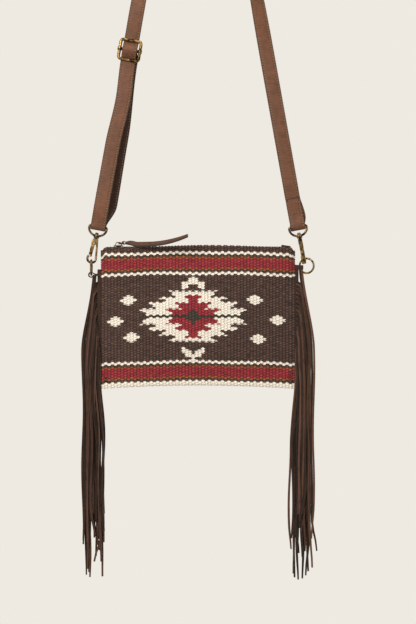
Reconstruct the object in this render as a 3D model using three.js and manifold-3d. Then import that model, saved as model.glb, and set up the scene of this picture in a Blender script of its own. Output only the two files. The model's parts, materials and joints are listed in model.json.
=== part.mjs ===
// A small woven shoulder bag with leather fringe down both sides, hung by its strap.
// Millimetres, +Z up, the front faces -Y, the origin is the underside of the strap's crown.
import * as THREE from "three";
import { mergeVertices } from "three/addons/utils/BufferGeometryUtils.js";
import Module from "manifold-3d";

// Pouch
const POUCH_WIDTH = 246;
const POUCH_HEIGHT = 177;
const BELLY_HALF_DEPTH = 13;
const MOUTH_HALF_DEPTH = 7.6;
const FOLD_HALF_DEPTH = 3.4;
const CLOTH = 2.3;
const LINING = 0.8;
const LAYER_GAP = 0.4;
const SEAM_ALLOWANCE = 6;
const TOP_DROOP = 2;
const BOTTOM_DROOP = 4.5;

// Strap
const STRAP_DROP = 588;
const STRAP_WIDTH = 19;
const STRAP_THICK = 2;
const PEG_RADIUS = 20;
const CROWN_LAND = 8;
const SEWN_END = 38;
const ADJUSTER_HEIGHT = 227;
const BACK_LAYER_SHIFT = 9;

// Brass
const EYE_RISE = 25;
const EYE_OUTSET = 3.5;
const EYE_WIRE = 2.8;
const EYE_DEPTH = 12.8;
const EYE_PLAY = 1.4;
const ADJUSTER_WIRE = 3;
const ADJUSTER_WINDOW = 22;
const HOOK_REACH = 42;
const HOOK_THICK = 5.2;
const HOOK_BAR = 2.8;
const HOOK_BEVEL = 0.5;
const HOOK_PLAY = 2.65;
const STUD_RADIUS = 1.6;
const GATE_THICK = 2.8;
const PIN_RADIUS = 0.8;
const RING_WIRE = 2.7;
const RING_RADIUS = 9.35;
const RIGHT_RING_YAW = 20;
const RING_REST = 0.05;

// Ring tabs
const TAB_WIDTH = 6.4;
const TAB_THICK = 1.6;
const TAB_PLAY = 1.6;

// Zip
const ZIP_MARGIN = 8;
const TAPE_CLEAR = 0.2;
const TAPE_THICK = 0.7;
const TOOTH_PITCH = 4;
const TOOTH_HEIGHT = 2.4;
const TOOTH_WIDTH = 2;
const TEETH_GAP = 0.65;
const SLIDER_LENGTH = 12;
const SLIDER_INSET = 14;
const PULL_RING_RADIUS = 3.6;
const PULL_RING_WIRE = 1.3;
const PULL_LENGTH = 84;
const PULL_WIDTH = 6;
const PULL_THICK = 1.8;
const PULL_YAW = 25;

// Fringe
const FRINGE_CLEAR = 4.5;
const FRINGE_LENGTH = 84;
const STRAND_COUNT = 18;
const STRAND_WIDTH = 3.9;
const STRAND_THICK = 1.3;
const FRINGE_SPREAD = 24;
const FRINGE_LAYERS = 4;
const LAYER_PITCH = 2.7;
const LONGEST_DROP = 244;
const SHORTEST_DROP = 132;

// Fits
const GAP = 0.3;

const kernel = await Module();
kernel.setup();
const { Manifold, Mesh: ManifoldMesh } = kernel;

const DEGREE = Math.PI / 180;
const HALF_WIDTH = POUCH_WIDTH / 2;
const POUCH_TOP = -STRAP_DROP;
const POUCH_BOTTOM = POUCH_TOP - POUCH_HEIGHT;
const ZIP_LENGTH = POUCH_WIDTH - 2 * ZIP_MARGIN;
const SLIDER_REST = SLIDER_INSET - ZIP_LENGTH / 2;
const TAPE_HALF = MOUTH_HALF_DEPTH - CLOTH - LAYER_GAP - LINING - TAPE_CLEAR;
const SIDES = [{ name: "left", side: -1 }, { name: "right", side: 1 }];

const leather = new THREE.MeshStandardMaterial({ color: 0x6a4533, roughness: 0.6 });
const darkLeather = new THREE.MeshStandardMaterial({ color: 0x3c2920, roughness: 0.85 });
const woven = new THREE.MeshStandardMaterial({ color: 0x4e3830, roughness: 0.95 });
const liningCloth = new THREE.MeshStandardMaterial({ color: 0x2c2320, roughness: 0.9 });
const brass = new THREE.MeshStandardMaterial({ color: 0xb08a52, metalness: 0.9, roughness: 0.35 });
const steel = new THREE.MeshStandardMaterial({ color: 0x8d8f92, metalness: 0.9, roughness: 0.4 });
const zipTape = new THREE.MeshStandardMaterial({ color: 0x2a211d, roughness: 0.9 });

const bag = new THREE.Group();
bag.name = "fringed_bag";

// Solids and booleans

function toManifold(geometry) {
  const bare = new THREE.BufferGeometry();
  bare.setAttribute("position", geometry.getAttribute("position"));
  if (geometry.index) bare.setIndex(geometry.index);
  const welded = mergeVertices(bare, 1e-4);
  return new Manifold(new ManifoldMesh({
    numProp: 3,
    vertProperties: new Float32Array(welded.getAttribute("position").array),
    triVerts: new Uint32Array(welded.index.array),
  }));
}

function toGeometry(solid) {
  const mesh = solid.getMesh();
  const geometry = new THREE.BufferGeometry();
  geometry.setAttribute("position", new THREE.BufferAttribute(mesh.vertProperties, 3));
  geometry.setIndex(new THREE.BufferAttribute(mesh.triVerts, 1));
  geometry.computeVertexNormals();
  return geometry;
}

function join(...geometries) {
  return toGeometry(geometries.map(toManifold).reduce((whole, next) => whole.add(next)));
}

function cut(geometry, ...tools) {
  return toGeometry(tools.map(toManifold).reduce((whole, tool) => whole.subtract(tool), toManifold(geometry)));
}

function addPiece(name, geometry, material) {
  const mesh = new THREE.Mesh(geometry, material.clone());
  mesh.name = name;
  bag.add(mesh);
}

// Shapes

class StationPath extends THREE.Curve {
  constructor(stations) {
    super();
    this.stations = stations;
  }

  getSpacedPoints() {
    return this.stations.map((station) => station.point);
  }

  computeFrenetFrames() {
    const last = this.stations.length - 1;
    const tangents = this.stations.map((station, i) => {
      const after = this.stations[Math.min(i + 1, last)].point;
      const before = this.stations[Math.max(i - 1, 0)].point;
      return after.clone().sub(before).normalize();
    });
    const normals = this.stations.map((station, i) => {
      const along = tangents[i].clone().multiplyScalar(station.across.dot(tangents[i]));
      return station.across.clone().sub(along).normalize();
    });
    const binormals = tangents.map((tangent, i) => tangent.clone().cross(normals[i]));
    return { tangents, normals, binormals };
  }
}

function sweepStrip(stations, width, thickness) {
  const section = new THREE.Shape();
  section.moveTo(-width / 2, -thickness / 2);
  section.lineTo(width / 2, -thickness / 2);
  section.lineTo(width / 2, thickness / 2);
  section.lineTo(-width / 2, thickness / 2);
  section.closePath();
  const extrudePath = new StationPath(stations);
  return new THREE.ExtrudeGeometry(section, { steps: stations.length - 1, extrudePath });
}

function closedWire(points, radius, steps, sides = 8) {
  const curve = new THREE.CatmullRomCurve3(points, true, "centripetal");
  return new THREE.TubeGeometry(curve, steps, radius, sides, true);
}

function rod(radius, length, axis, sides = 16) {
  const geometry = new THREE.CylinderGeometry(radius, radius, length, sides);
  if (axis === "x") geometry.rotateZ(Math.PI / 2);
  if (axis === "z") geometry.rotateX(Math.PI / 2);
  return geometry;
}

function box(x, y, z) {
  return new THREE.BoxGeometry(x, y, z);
}

function plateXZ(shape, thickness, bevel = 0) {
  const geometry = new THREE.ExtrudeGeometry(shape, {
    depth: thickness - 2 * bevel,
    bevelEnabled: bevel > 0,
    bevelThickness: bevel,
    bevelSize: bevel,
    bevelOffset: -bevel,
    bevelSegments: 1,
    curveSegments: 8,
  });
  geometry.translate(0, 0, bevel - thickness / 2);
  return geometry.rotateX(Math.PI / 2);
}

function loft(rings) {
  const count = rings[0].length;
  const points = rings.flat();
  const faces = [];
  for (let r = 0; r < rings.length - 1; r += 1) {
    for (let i = 0; i < count; i += 1) {
      const a = r * count + i;
      const b = r * count + ((i + 1) % count);
      faces.push(a, b, b + count, a, b + count, a + count);
    }
  }
  [0, rings.length - 1].forEach((r) => {
    const middle = rings[r].reduce((sum, p) => sum.add(p), new THREE.Vector3()).divideScalar(count);
    points.push(middle);
    for (let i = 0; i < count; i += 1) {
      const a = r * count + i;
      const b = r * count + ((i + 1) % count);
      faces.push(...(r === 0 ? [b, a, points.length - 1] : [a, b, points.length - 1]));
    }
  });
  const geometry = new THREE.BufferGeometry().setFromPoints(points);
  geometry.setIndex(faces);
  return geometry;
}

function smooth(x) {
  const s = Math.min(Math.max(x, 0), 1);
  return s * s * (3 - 2 * s);
}

// The strap leaves each eye bar straight towards the round of its crown.
const BAR_X = HALF_WIDTH + EYE_OUTSET;
const BAR_Z = POUCH_TOP + EYE_RISE;
const CROWN_RADIUS = PEG_RADIUS + STRAP_THICK / 2;
const toCrown = new THREE.Vector2(BAR_X - CROWN_LAND, -PEG_RADIUS - BAR_Z);
const LEAN = Math.atan2(toCrown.x, toCrown.y) - Math.asin(CROWN_RADIUS / toCrown.length());
const STRAP_RUN = Math.sqrt(toCrown.lengthSq() - CROWN_RADIUS ** 2);
const LOOP_RADIUS = EYE_WIRE / 2 + EYE_PLAY + STRAP_THICK / 2;

function onStrap(side, height, depth, shift = 0) {
  return new THREE.Vector3(
    side * BAR_X - side * Math.sin(LEAN) * height + Math.cos(LEAN) * shift,
    depth,
    BAR_Z + Math.cos(LEAN) * height + side * Math.sin(LEAN) * shift,
  );
}

// Depth of a strip between two heights, eased so that it leaves and arrives along the strap.
function easedRun(from, to, steps) {
  return Array.from({ length: steps }, (unused, i) => {
    const share = (i + 1) / steps;
    const ease = smooth(share);
    return from.map((value, k) => value + (to[k] - value) * (k === 0 ? share : ease));
  });
}

function buildStrap() {
  const stations = [];
  const place = (side, across) => ([height, depth, shift = 0]) => {
    stations.push({ point: onStrap(side, height, depth, shift), across });
  };
  const round = (side, across, height, radius, from, to, steps) => {
    for (let i = 0; i <= steps; i += 1) {
      const angle = (from + (to - from) * (i / steps)) * DEGREE;
      place(side, across)([height + radius * Math.sin(angle), radius * Math.cos(angle)]);
    }
  };
  const run = (side, across, marks, steps) => {
    marks.slice(1).forEach((mark, i) => easedRun(marks[i], mark, steps).forEach(place(side, across)));
  };

  const window = ADJUSTER_WINDOW / 2 + ADJUSTER_WIRE / 2;
  const wrap = ADJUSTER_WIRE / 2 + GAP + STRAP_THICK / 2;
  const behind = ADJUSTER_WIRE / 2 + GAP + STRAP_THICK / 2;
  const infront = wrap + STRAP_THICK + 2 * GAP + 0.1;
  const left = new THREE.Vector3(Math.cos(LEAN), 0, -Math.sin(LEAN));
  const right = new THREE.Vector3(-Math.cos(LEAN), 0, -Math.sin(LEAN));

  round(-1, left, ADJUSTER_HEIGHT, wrap, 235, 0, 9);
  run(-1, left, [
    [ADJUSTER_HEIGHT, wrap, 0],
    [ADJUSTER_HEIGHT - window, behind + STRAP_THICK + 2 * GAP, BACK_LAYER_SHIFT * 0.3],
    [ADJUSTER_HEIGHT * 0.5, 7.5, BACK_LAYER_SHIFT * 0.9],
    [24, 8.5, BACK_LAYER_SHIFT],
  ], 5);
  run(-1, left, [[24, 8.5, BACK_LAYER_SHIFT], [0, LOOP_RADIUS, 0]], 6);
  stations.pop();
  round(-1, left, 0, LOOP_RADIUS, 0, -180, 8);
  run(-1, left, [[0, -LOOP_RADIUS], [24, -8]], 5);
  run(-1, left, [
    [24, -8],
    [ADJUSTER_HEIGHT * 0.5, -6],
    [ADJUSTER_HEIGHT - window, behind],
  ], 5);
  run(-1, left, [
    [ADJUSTER_HEIGHT - window, behind],
    [ADJUSTER_HEIGHT, -infront],
    [ADJUSTER_HEIGHT + window, behind],
    [ADJUSTER_HEIGHT + window + 30, 0],
  ], 8);

  const turn = (side, from, to) => {
    for (let i = 1; i <= 14; i += 1) {
      const height = from + (to - from) * (i / 14);
      const low = side < 0 ? ADJUSTER_HEIGHT + 30 : ADJUSTER_HEIGHT - 30;
      const twist = (Math.PI / 2) * smooth((height - low) / (STRAP_RUN - 60 - low));
      const across = new THREE.Vector3(-side * Math.cos(twist), -Math.sin(twist), 0);
      stations.push({ point: onStrap(side, height, 0), across });
    }
  };
  const crown = (side, from, to) => {
    for (let i = 0; i <= 6; i += 1) {
      const angle = from + (to - from) * (i / 6);
      stations.push({
        point: new THREE.Vector3(
          side * (CROWN_LAND + CROWN_RADIUS * Math.cos(angle)),
          0,
          CROWN_RADIUS * Math.sin(angle) - PEG_RADIUS,
        ),
        across: new THREE.Vector3(0, -1, 0),
      });
    }
  };
  turn(-1, ADJUSTER_HEIGHT + window + 30, STRAP_RUN - 6);
  crown(-1, LEAN, Math.PI / 2);
  crown(1, Math.PI / 2, LEAN);
  turn(1, STRAP_RUN - 6, SEWN_END + 14);

  const touching = STRAP_THICK / 2 + GAP / 2;
  run(1, right, [[SEWN_END + 14, 0], [SEWN_END, touching]], 4);
  run(1, right, [[SEWN_END, touching], [16, touching], [0, LOOP_RADIUS]], 5);
  stations.pop();
  round(1, right, 0, LOOP_RADIUS, 0, -180, 8);
  run(1, right, [[0, -LOOP_RADIUS], [16, -touching], [SEWN_END - 4, -touching]], 5);
  addPiece("strap", sweepStrip(stations, STRAP_WIDTH, STRAP_THICK), leather);
}

// A frame that leans with its side of the strap: origin at the eye bar, +Z up the strap.
function strapFrame(side, height = 0) {
  const origin = onStrap(side, height, 0);
  return new THREE.Matrix4().makeRotationY(-side * LEAN).setPosition(origin);
}

function buildAdjuster() {
  const frame = strapFrame(-1, ADJUSTER_HEIGHT);
  const halfWide = STRAP_WIDTH / 2 + 2 + ADJUSTER_WIRE / 2;
  const halfTall = (ADJUSTER_WINDOW + ADJUSTER_WIRE) / 2;
  const round = 3;
  const outline = new THREE.Path();
  outline.moveTo(-halfWide + round, halfTall);
  outline.lineTo(halfWide - round, halfTall);
  outline.absarc(halfWide - round, halfTall - round, round, Math.PI / 2, 0, true);
  outline.absarc(halfWide - round, round - halfTall, round, 0, -Math.PI / 2, true);
  outline.absarc(round - halfWide, round - halfTall, round, -Math.PI / 2, -Math.PI, true);
  outline.absarc(round - halfWide, halfTall - round, round, Math.PI, Math.PI / 2, true);
  const points = outline.getSpacedPoints(40).slice(0, -1).map((p) => new THREE.Vector3(p.x, 0, p.y));
  addPiece("adjuster_frame", closedWire(points, ADJUSTER_WIRE / 2, 40).applyMatrix4(frame), brass);

  const sleeves = [-1, 1].map((end) => rod(ADJUSTER_WIRE / 2 + 1.4, 4.4, "z").translate(end * halfWide, 0, 0));
  const bores = [-1, 1].map((end) => rod(ADJUSTER_WIRE / 2 + GAP, 6, "z").translate(end * halfWide, 0, 0));
  const bar = cut(join(rod(ADJUSTER_WIRE / 2, 2 * halfWide, "x"), ...sleeves), ...bores);
  addPiece("adjuster_bar", bar.applyMatrix4(frame), brass);
}

// Swivel snap hook, drawn with its spine at +X and its gate at -X, hanging below the eye bar.
const COLLAR_HALF = 2.2;
const COLLAR_Z = -EYE_DEPTH - 0.6;
const NECK_TOP = COLLAR_Z - COLLAR_HALF - 0.6;
const BOW_INNER = RING_WIRE / 2 + HOOK_PLAY;
const BOW_OUTER = BOW_INNER + HOOK_BAR;
const BOW_X = -1.2;
const PIVOT = new THREE.Vector2(-2, NECK_TOP - 5.6);
const HUB_RADIUS = 2.6;
const NOSE_ANGLE = 142 * DEGREE;

function bowPoint(radius, angle) {
  return new THREE.Vector2(BOW_X + radius * Math.cos(angle), -HOOK_REACH + radius * Math.sin(angle));
}

function buildEye(name, frame) {
  const half = STRAP_WIDTH / 2 + 0.5 + EYE_WIRE / 2;
  const round = 2.5;
  const outline = new THREE.Path();
  outline.moveTo(round - half, 0);
  outline.lineTo(half - round, 0);
  outline.absarc(half - round, -round, round, Math.PI / 2, 0, true);
  outline.absellipse(0, -round, half, EYE_DEPTH - round, 0, -Math.PI, true);
  outline.absarc(round - half, -round, round, Math.PI, Math.PI / 2, true);
  const points = outline.getSpacedPoints(32).slice(0, -1).map((p) => new THREE.Vector3(p.x, 0, p.y));
  const wire = closedWire(points, EYE_WIRE / 2, 32);
  const collar = rod(STUD_RADIUS + 1.9, 2 * COLLAR_HALF, "z").translate(0, 0, COLLAR_Z);
  const bore = rod(STUD_RADIUS + GAP, 12, "z").translate(0, 0, COLLAR_Z);
  addPiece(name, cut(join(wire, collar), bore).applyMatrix4(frame), brass);
}

function buildHook(name, frame) {
  const neck = PIVOT.x - HUB_RADIUS - 0.3;
  const foot = PIVOT.y - HUB_RADIUS + 0.4;
  const inner = bowPoint(BOW_INNER, 0);
  const outer = bowPoint(BOW_OUTER, 0);
  const shape = new THREE.Shape();
  shape.moveTo(-3, NECK_TOP);
  shape.lineTo(3, NECK_TOP);
  shape.lineTo(3.6, PIVOT.y);
  shape.lineTo(outer.x, outer.y);
  shape.absarc(BOW_X, -HOOK_REACH, BOW_OUTER, 0, NOSE_ANGLE - 2 * Math.PI, true);
  shape.absarc(BOW_X, -HOOK_REACH, BOW_INNER, NOSE_ANGLE - 2 * Math.PI, 0, false);
  shape.lineTo(inner.x - 1.2, foot - 1.4);
  shape.lineTo(inner.x - 2, foot);
  shape.lineTo(neck, foot);
  shape.lineTo(neck, PIVOT.y + HUB_RADIUS - 0.2);
  shape.closePath();
  const body = plateXZ(shape, HOOK_THICK, HOOK_BEVEL);
  const stud = rod(STUD_RADIUS, 8.4, "z").translate(0, 0, NECK_TOP + 3.4);
  const headZ = COLLAR_Z + COLLAR_HALF + 0.5;
  const head = new THREE.CylinderGeometry(1.8, 2.9, 2.2, 16).rotateX(Math.PI / 2).translate(0, 0, headZ + 1.1);
  const slotWide = PIVOT.x + HUB_RADIUS + 0.9 - (neck - 4);
  const slotTall = 2 * HUB_RADIUS + 3.4;
  const slot = box(slotWide, GATE_THICK + 2 * GAP, slotTall);
  slot.translate(neck - 4 + slotWide / 2, 0, PIVOT.y + HUB_RADIUS + 0.4 - slotTall / 2);
  const hole = rod(PIN_RADIUS + GAP, HOOK_THICK + 4, "y", 12).translate(PIVOT.x, 0, PIVOT.y);
  addPiece(`${name}_hook`, cut(join(body, stud, head), slot, hole).applyMatrix4(frame), brass);

  const pin = rod(PIN_RADIUS, HOOK_THICK - 0.2, "y", 12).translate(PIVOT.x, 0, PIVOT.y);
  addPiece(`${name}_gate_pin`, pin.applyMatrix4(frame), steel);
}

function buildGate(name, frame) {
  const noseOuter = bowPoint(BOW_OUTER, NOSE_ANGLE);
  const noseInner = bowPoint(BOW_INNER, NOSE_ANGLE);
  const tongue = noseInner.x + 0.4;
  const outline = new THREE.Shape();
  outline.moveTo(PIVOT.x - HUB_RADIUS, PIVOT.y);
  outline.lineTo(noseOuter.x + 0.6, noseOuter.y + 0.7);
  outline.lineTo(tongue, noseInner.y + 0.9);
  outline.lineTo(tongue, noseInner.y - 0.6);
  outline.lineTo(tongue + 2.2, noseInner.y - 0.6);
  outline.lineTo(PIVOT.x + HUB_RADIUS - 0.8, PIVOT.y - 1);
  outline.lineTo(PIVOT.x + HUB_RADIUS - 0.8, PIVOT.y);
  outline.closePath();
  const lever = plateXZ(outline, GATE_THICK, 0.3);
  const hub = rod(HUB_RADIUS, GATE_THICK, "y", 20).translate(PIVOT.x, 0, PIVOT.y);
  const hole = rod(PIN_RADIUS + GAP, GATE_THICK + 4, "y", 12).translate(PIVOT.x, 0, PIVOT.y);
  const recess = rod(PIN_RADIUS + 1.2, 1.4, "y", 12).translate(PIVOT.x, GATE_THICK / 2, PIVOT.y);
  addPiece(`${name}_gate`, cut(join(lever, hub), hole, recess).applyMatrix4(frame), brass);

  const coil = rod(PIN_RADIUS + 0.9, 0.4, "y", 12).translate(PIVOT.x, GATE_THICK / 2 - 0.2, PIVOT.y);
  const spring = cut(coil, hole);
  addPiece(`${name}_gate_spring`, spring.applyMatrix4(frame), steel);
}

// The ring hangs in the bow of its hook, and the fringe starts below the left ring's tab.
const SEAT_DEPTH = -HOOK_REACH - HOOK_PLAY + 2 * GAP;
const TAB_RADIUS = RING_WIRE / 2 + TAB_PLAY + TAB_THICK / 2;
const LEFT_SEAT = new THREE.Vector3(BOW_X, 0, SEAT_DEPTH).applyMatrix4(strapFrame(-1));
const FRINGE_TOP = LEFT_SEAT.z - 2 * RING_RADIUS - TAB_RADIUS - TAB_THICK / 2 - FRINGE_CLEAR;

// The lift that brings a yawed ring to rest a gap clear of the bow of its hook, whose frame is "turned".
function seatLift(centre, yaw, turned) {
  const toHook = turned.clone().invert();
  const wanted = RING_WIRE / 2 + RING_REST;
  let lift = 0;
  for (let pass = 0; pass < 40; pass += 1) {
    let nearest = RING_RADIUS;
    for (let angle = 90; angle <= 180; angle += 1) {
      const across = RING_RADIUS * Math.cos(angle * DEGREE);
      const up = RING_RADIUS * Math.sin(angle * DEGREE) + lift;
      const offset = new THREE.Vector3(across * Math.cos(yaw), -across * Math.sin(yaw), up);
      const local = offset.add(centre).applyMatrix4(toHook);
      const fromBow = Math.hypot(local.x - BOW_X, local.z + HOOK_REACH);
      const radial = Math.max(BOW_INNER - fromBow, fromBow - BOW_OUTER, 0);
      const sideways = Math.max(Math.abs(local.y) - (HOOK_THICK - HOOK_BEVEL) / 2, 0);
      nearest = Math.min(nearest, Math.hypot(radial, sideways));
    }
    lift += 0.5 * (wanted - nearest);
  }
  return lift;
}

// A leather loop round the wire at "wire", closing on the seam at "seam", in one plane of the bag.
function tabLoop(wire, seam, slack, toWorld, across) {
  const radius = TAB_RADIUS + slack;
  const toSeam = seam.clone().sub(wire);
  const base = Math.atan2(toSeam.y, toSeam.x);
  const opening = Math.acos(Math.min(radius / toSeam.length(), 0.95)) + 8 * DEGREE;
  const layer = TAB_THICK / 2 + GAP / 2;
  const normal = new THREE.Vector2(-toSeam.y, toSeam.x).normalize();
  const points = [seam.clone().addScaledVector(normal, layer)];
  for (let i = 0; i <= 14; i += 1) {
    const angle = base + opening + (2 * Math.PI - 2 * opening) * (i / 14);
    points.push(new THREE.Vector2(wire.x + radius * Math.cos(angle), wire.y + radius * Math.sin(angle)));
  }
  points.push(seam.clone().addScaledVector(normal, -layer));
  const stations = points.map((p) => ({ point: toWorld(p), across }));
  return sweepStrip(stations, TAB_WIDTH, TAB_THICK);
}

function buildLinks() {
  const seamX = HALF_WIDTH + 2 * GAP + TAB_THICK / 2;

  SIDES.forEach(({ name, side }) => {
    const frame = strapFrame(side);
    const turned = frame.clone();
    if (side > 0) turned.multiply(new THREE.Matrix4().makeRotationZ(-Math.PI / 2));
    buildEye(`${name}_eye`, frame);
    buildHook(name, turned);
    buildGate(name, turned);
    const seat = new THREE.Vector3(BOW_X, 0, SEAT_DEPTH).applyMatrix4(turned);
    const hookFoot = new THREE.Vector3(BOW_X, -HOOK_THICK / 2, -HOOK_REACH - BOW_OUTER).applyMatrix4(turned);
    const ring = new THREE.TorusGeometry(RING_RADIUS, RING_WIRE / 2, 8, 24);
    if (side < 0) {
      ring.rotateY(Math.PI / 2).translate(seat.x, seat.y, seat.z - RING_RADIUS);
      const wire = new THREE.Vector2(seat.x, seat.z - 2 * RING_RADIUS);
      const seam = new THREE.Vector2(-seamX, wire.y + 3);
      const toWorld = (p) => new THREE.Vector3(p.x, 0, p.y);
      addPiece("left_ring_tab", tabLoop(wire, seam, 0, toWorld, new THREE.Vector3(0, 1, 0)), darkLeather);
    } else {
      const yaw = RIGHT_RING_YAW * DEGREE;
      const wide = RING_RADIUS * Math.cos(yaw);
      const wireX = seamX + RING_WIRE / 2 + TAB_PLAY + TAB_THICK + GAP;
      const tilt = Math.asin((wireX + wide - seat.x) / wide);
      const centre = new THREE.Vector3(
        wireX + wide,
        seat.y - RING_RADIUS * Math.sin(tilt) * Math.sin(yaw),
        seat.z - RING_RADIUS * Math.cos(tilt),
      );
      centre.z += seatLift(centre, yaw, turned);
      ring.rotateX(Math.PI / 2).rotateZ(-yaw).translate(centre.x, centre.y, centre.z);
      const tabZ = Math.min(centre.z, hookFoot.z - 2 * GAP - TAB_WIDTH / 2);
      const offset = (z) => Math.sqrt(1 - ((centre.z - z) / RING_RADIUS) ** 2);
      const furthest = offset(Math.min(centre.z, tabZ + TAB_WIDTH / 2));
      const nearest = offset(tabZ - TAB_WIDTH / 2);
      const held = (furthest + nearest) / 2;
      const slack = (RING_RADIUS * (furthest - nearest)) / 2;
      const wire = new THREE.Vector2(centre.x - wide * held, centre.y + RING_RADIUS * Math.sin(yaw) * held);
      const seam = new THREE.Vector2(seamX, 0);
      const toWorld = (p) => new THREE.Vector3(p.x, p.y, tabZ);
      addPiece("right_ring_tab", tabLoop(wire, seam, slack, toWorld, new THREE.Vector3(0, 0, 1)), darkLeather);
    }
    addPiece(`${name}_ring`, ring, brass);
  });
}

// Half the depth of the filled pouch at u across (-1 to 1) and v up (0 to 1).
function halfDepth(u, v) {
  const rising = smooth(v / 0.42) * (BELLY_HALF_DEPTH - FOLD_HALF_DEPTH) + FOLD_HALF_DEPTH;
  const falling = smooth((v - 0.42) / 0.58) * (BELLY_HALF_DEPTH - MOUTH_HALF_DEPTH);
  const power = 2.4 + 21.6 * smooth((v - 0.72) / 0.28);
  return CLOTH + (rising - falling - CLOTH) * (1 - Math.abs(u) ** power) ** 0.75;
}

function pouchPoint(u, v) {
  const droop = (TOP_DROOP + (BOTTOM_DROOP - TOP_DROOP) * (1 - v)) * u * u;
  return { x: HALF_WIDTH * u, z: POUCH_BOTTOM + POUCH_HEIGHT * v - droop };
}

function pouchSolid(inset, sideInset, topRise, top = 1) {
  const columns = 14;
  const reach = 1 - sideInset / HALF_WIDTH;
  const levels = [0, 0.05, 0.14, 0.27, 0.42, 0.68, 0.84, 0.93].concat(top);
  const ring = (v, rise) => {
    const points = [];
    for (let i = 0; i <= columns; i += 1) {
      const u = -reach * Math.cos((Math.PI * i) / columns);
      const at = pouchPoint(u, v);
      const depth = inset > 0 ? Math.max(halfDepth(u, v), CLOTH + 1.5) : halfDepth(u, v);
      points.push(new THREE.Vector3(at.x, inset - depth, at.z + rise));
    }
    return points.concat(points.map((p) => new THREE.Vector3(p.x, -p.y, p.z)).reverse());
  };
  const clear = topRise > 0 ? LAYER_GAP : 0;
  const rings = levels.map((v) => ring(v, inset * (1 - v) + clear * v));
  if (topRise !== 0) rings.push(ring(top, topRise));
  return loft(rings);
}

function buildPouch() {
  const skin = pouchSolid(0, 0, 0);
  const hollow = pouchSolid(CLOTH, SEAM_ALLOWANCE, 12);
  addPiece("woven_pouch", cut(skin, hollow), woven);

  const outer = CLOTH + LAYER_GAP;
  const top = 1 - (TOOTH_HEIGHT + 5) / POUCH_HEIGHT;
  const liner = pouchSolid(outer, SEAM_ALLOWANCE + LAYER_GAP, 0, top);
  const room = pouchSolid(outer + LINING, SEAM_ALLOWANCE + LAYER_GAP + LINING, 12, top);
  addPiece("lining", cut(liner, room), liningCloth);
}

const TAPE_Z = POUCH_TOP - TOP_DROOP * 0.75 - 0.6;

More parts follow.
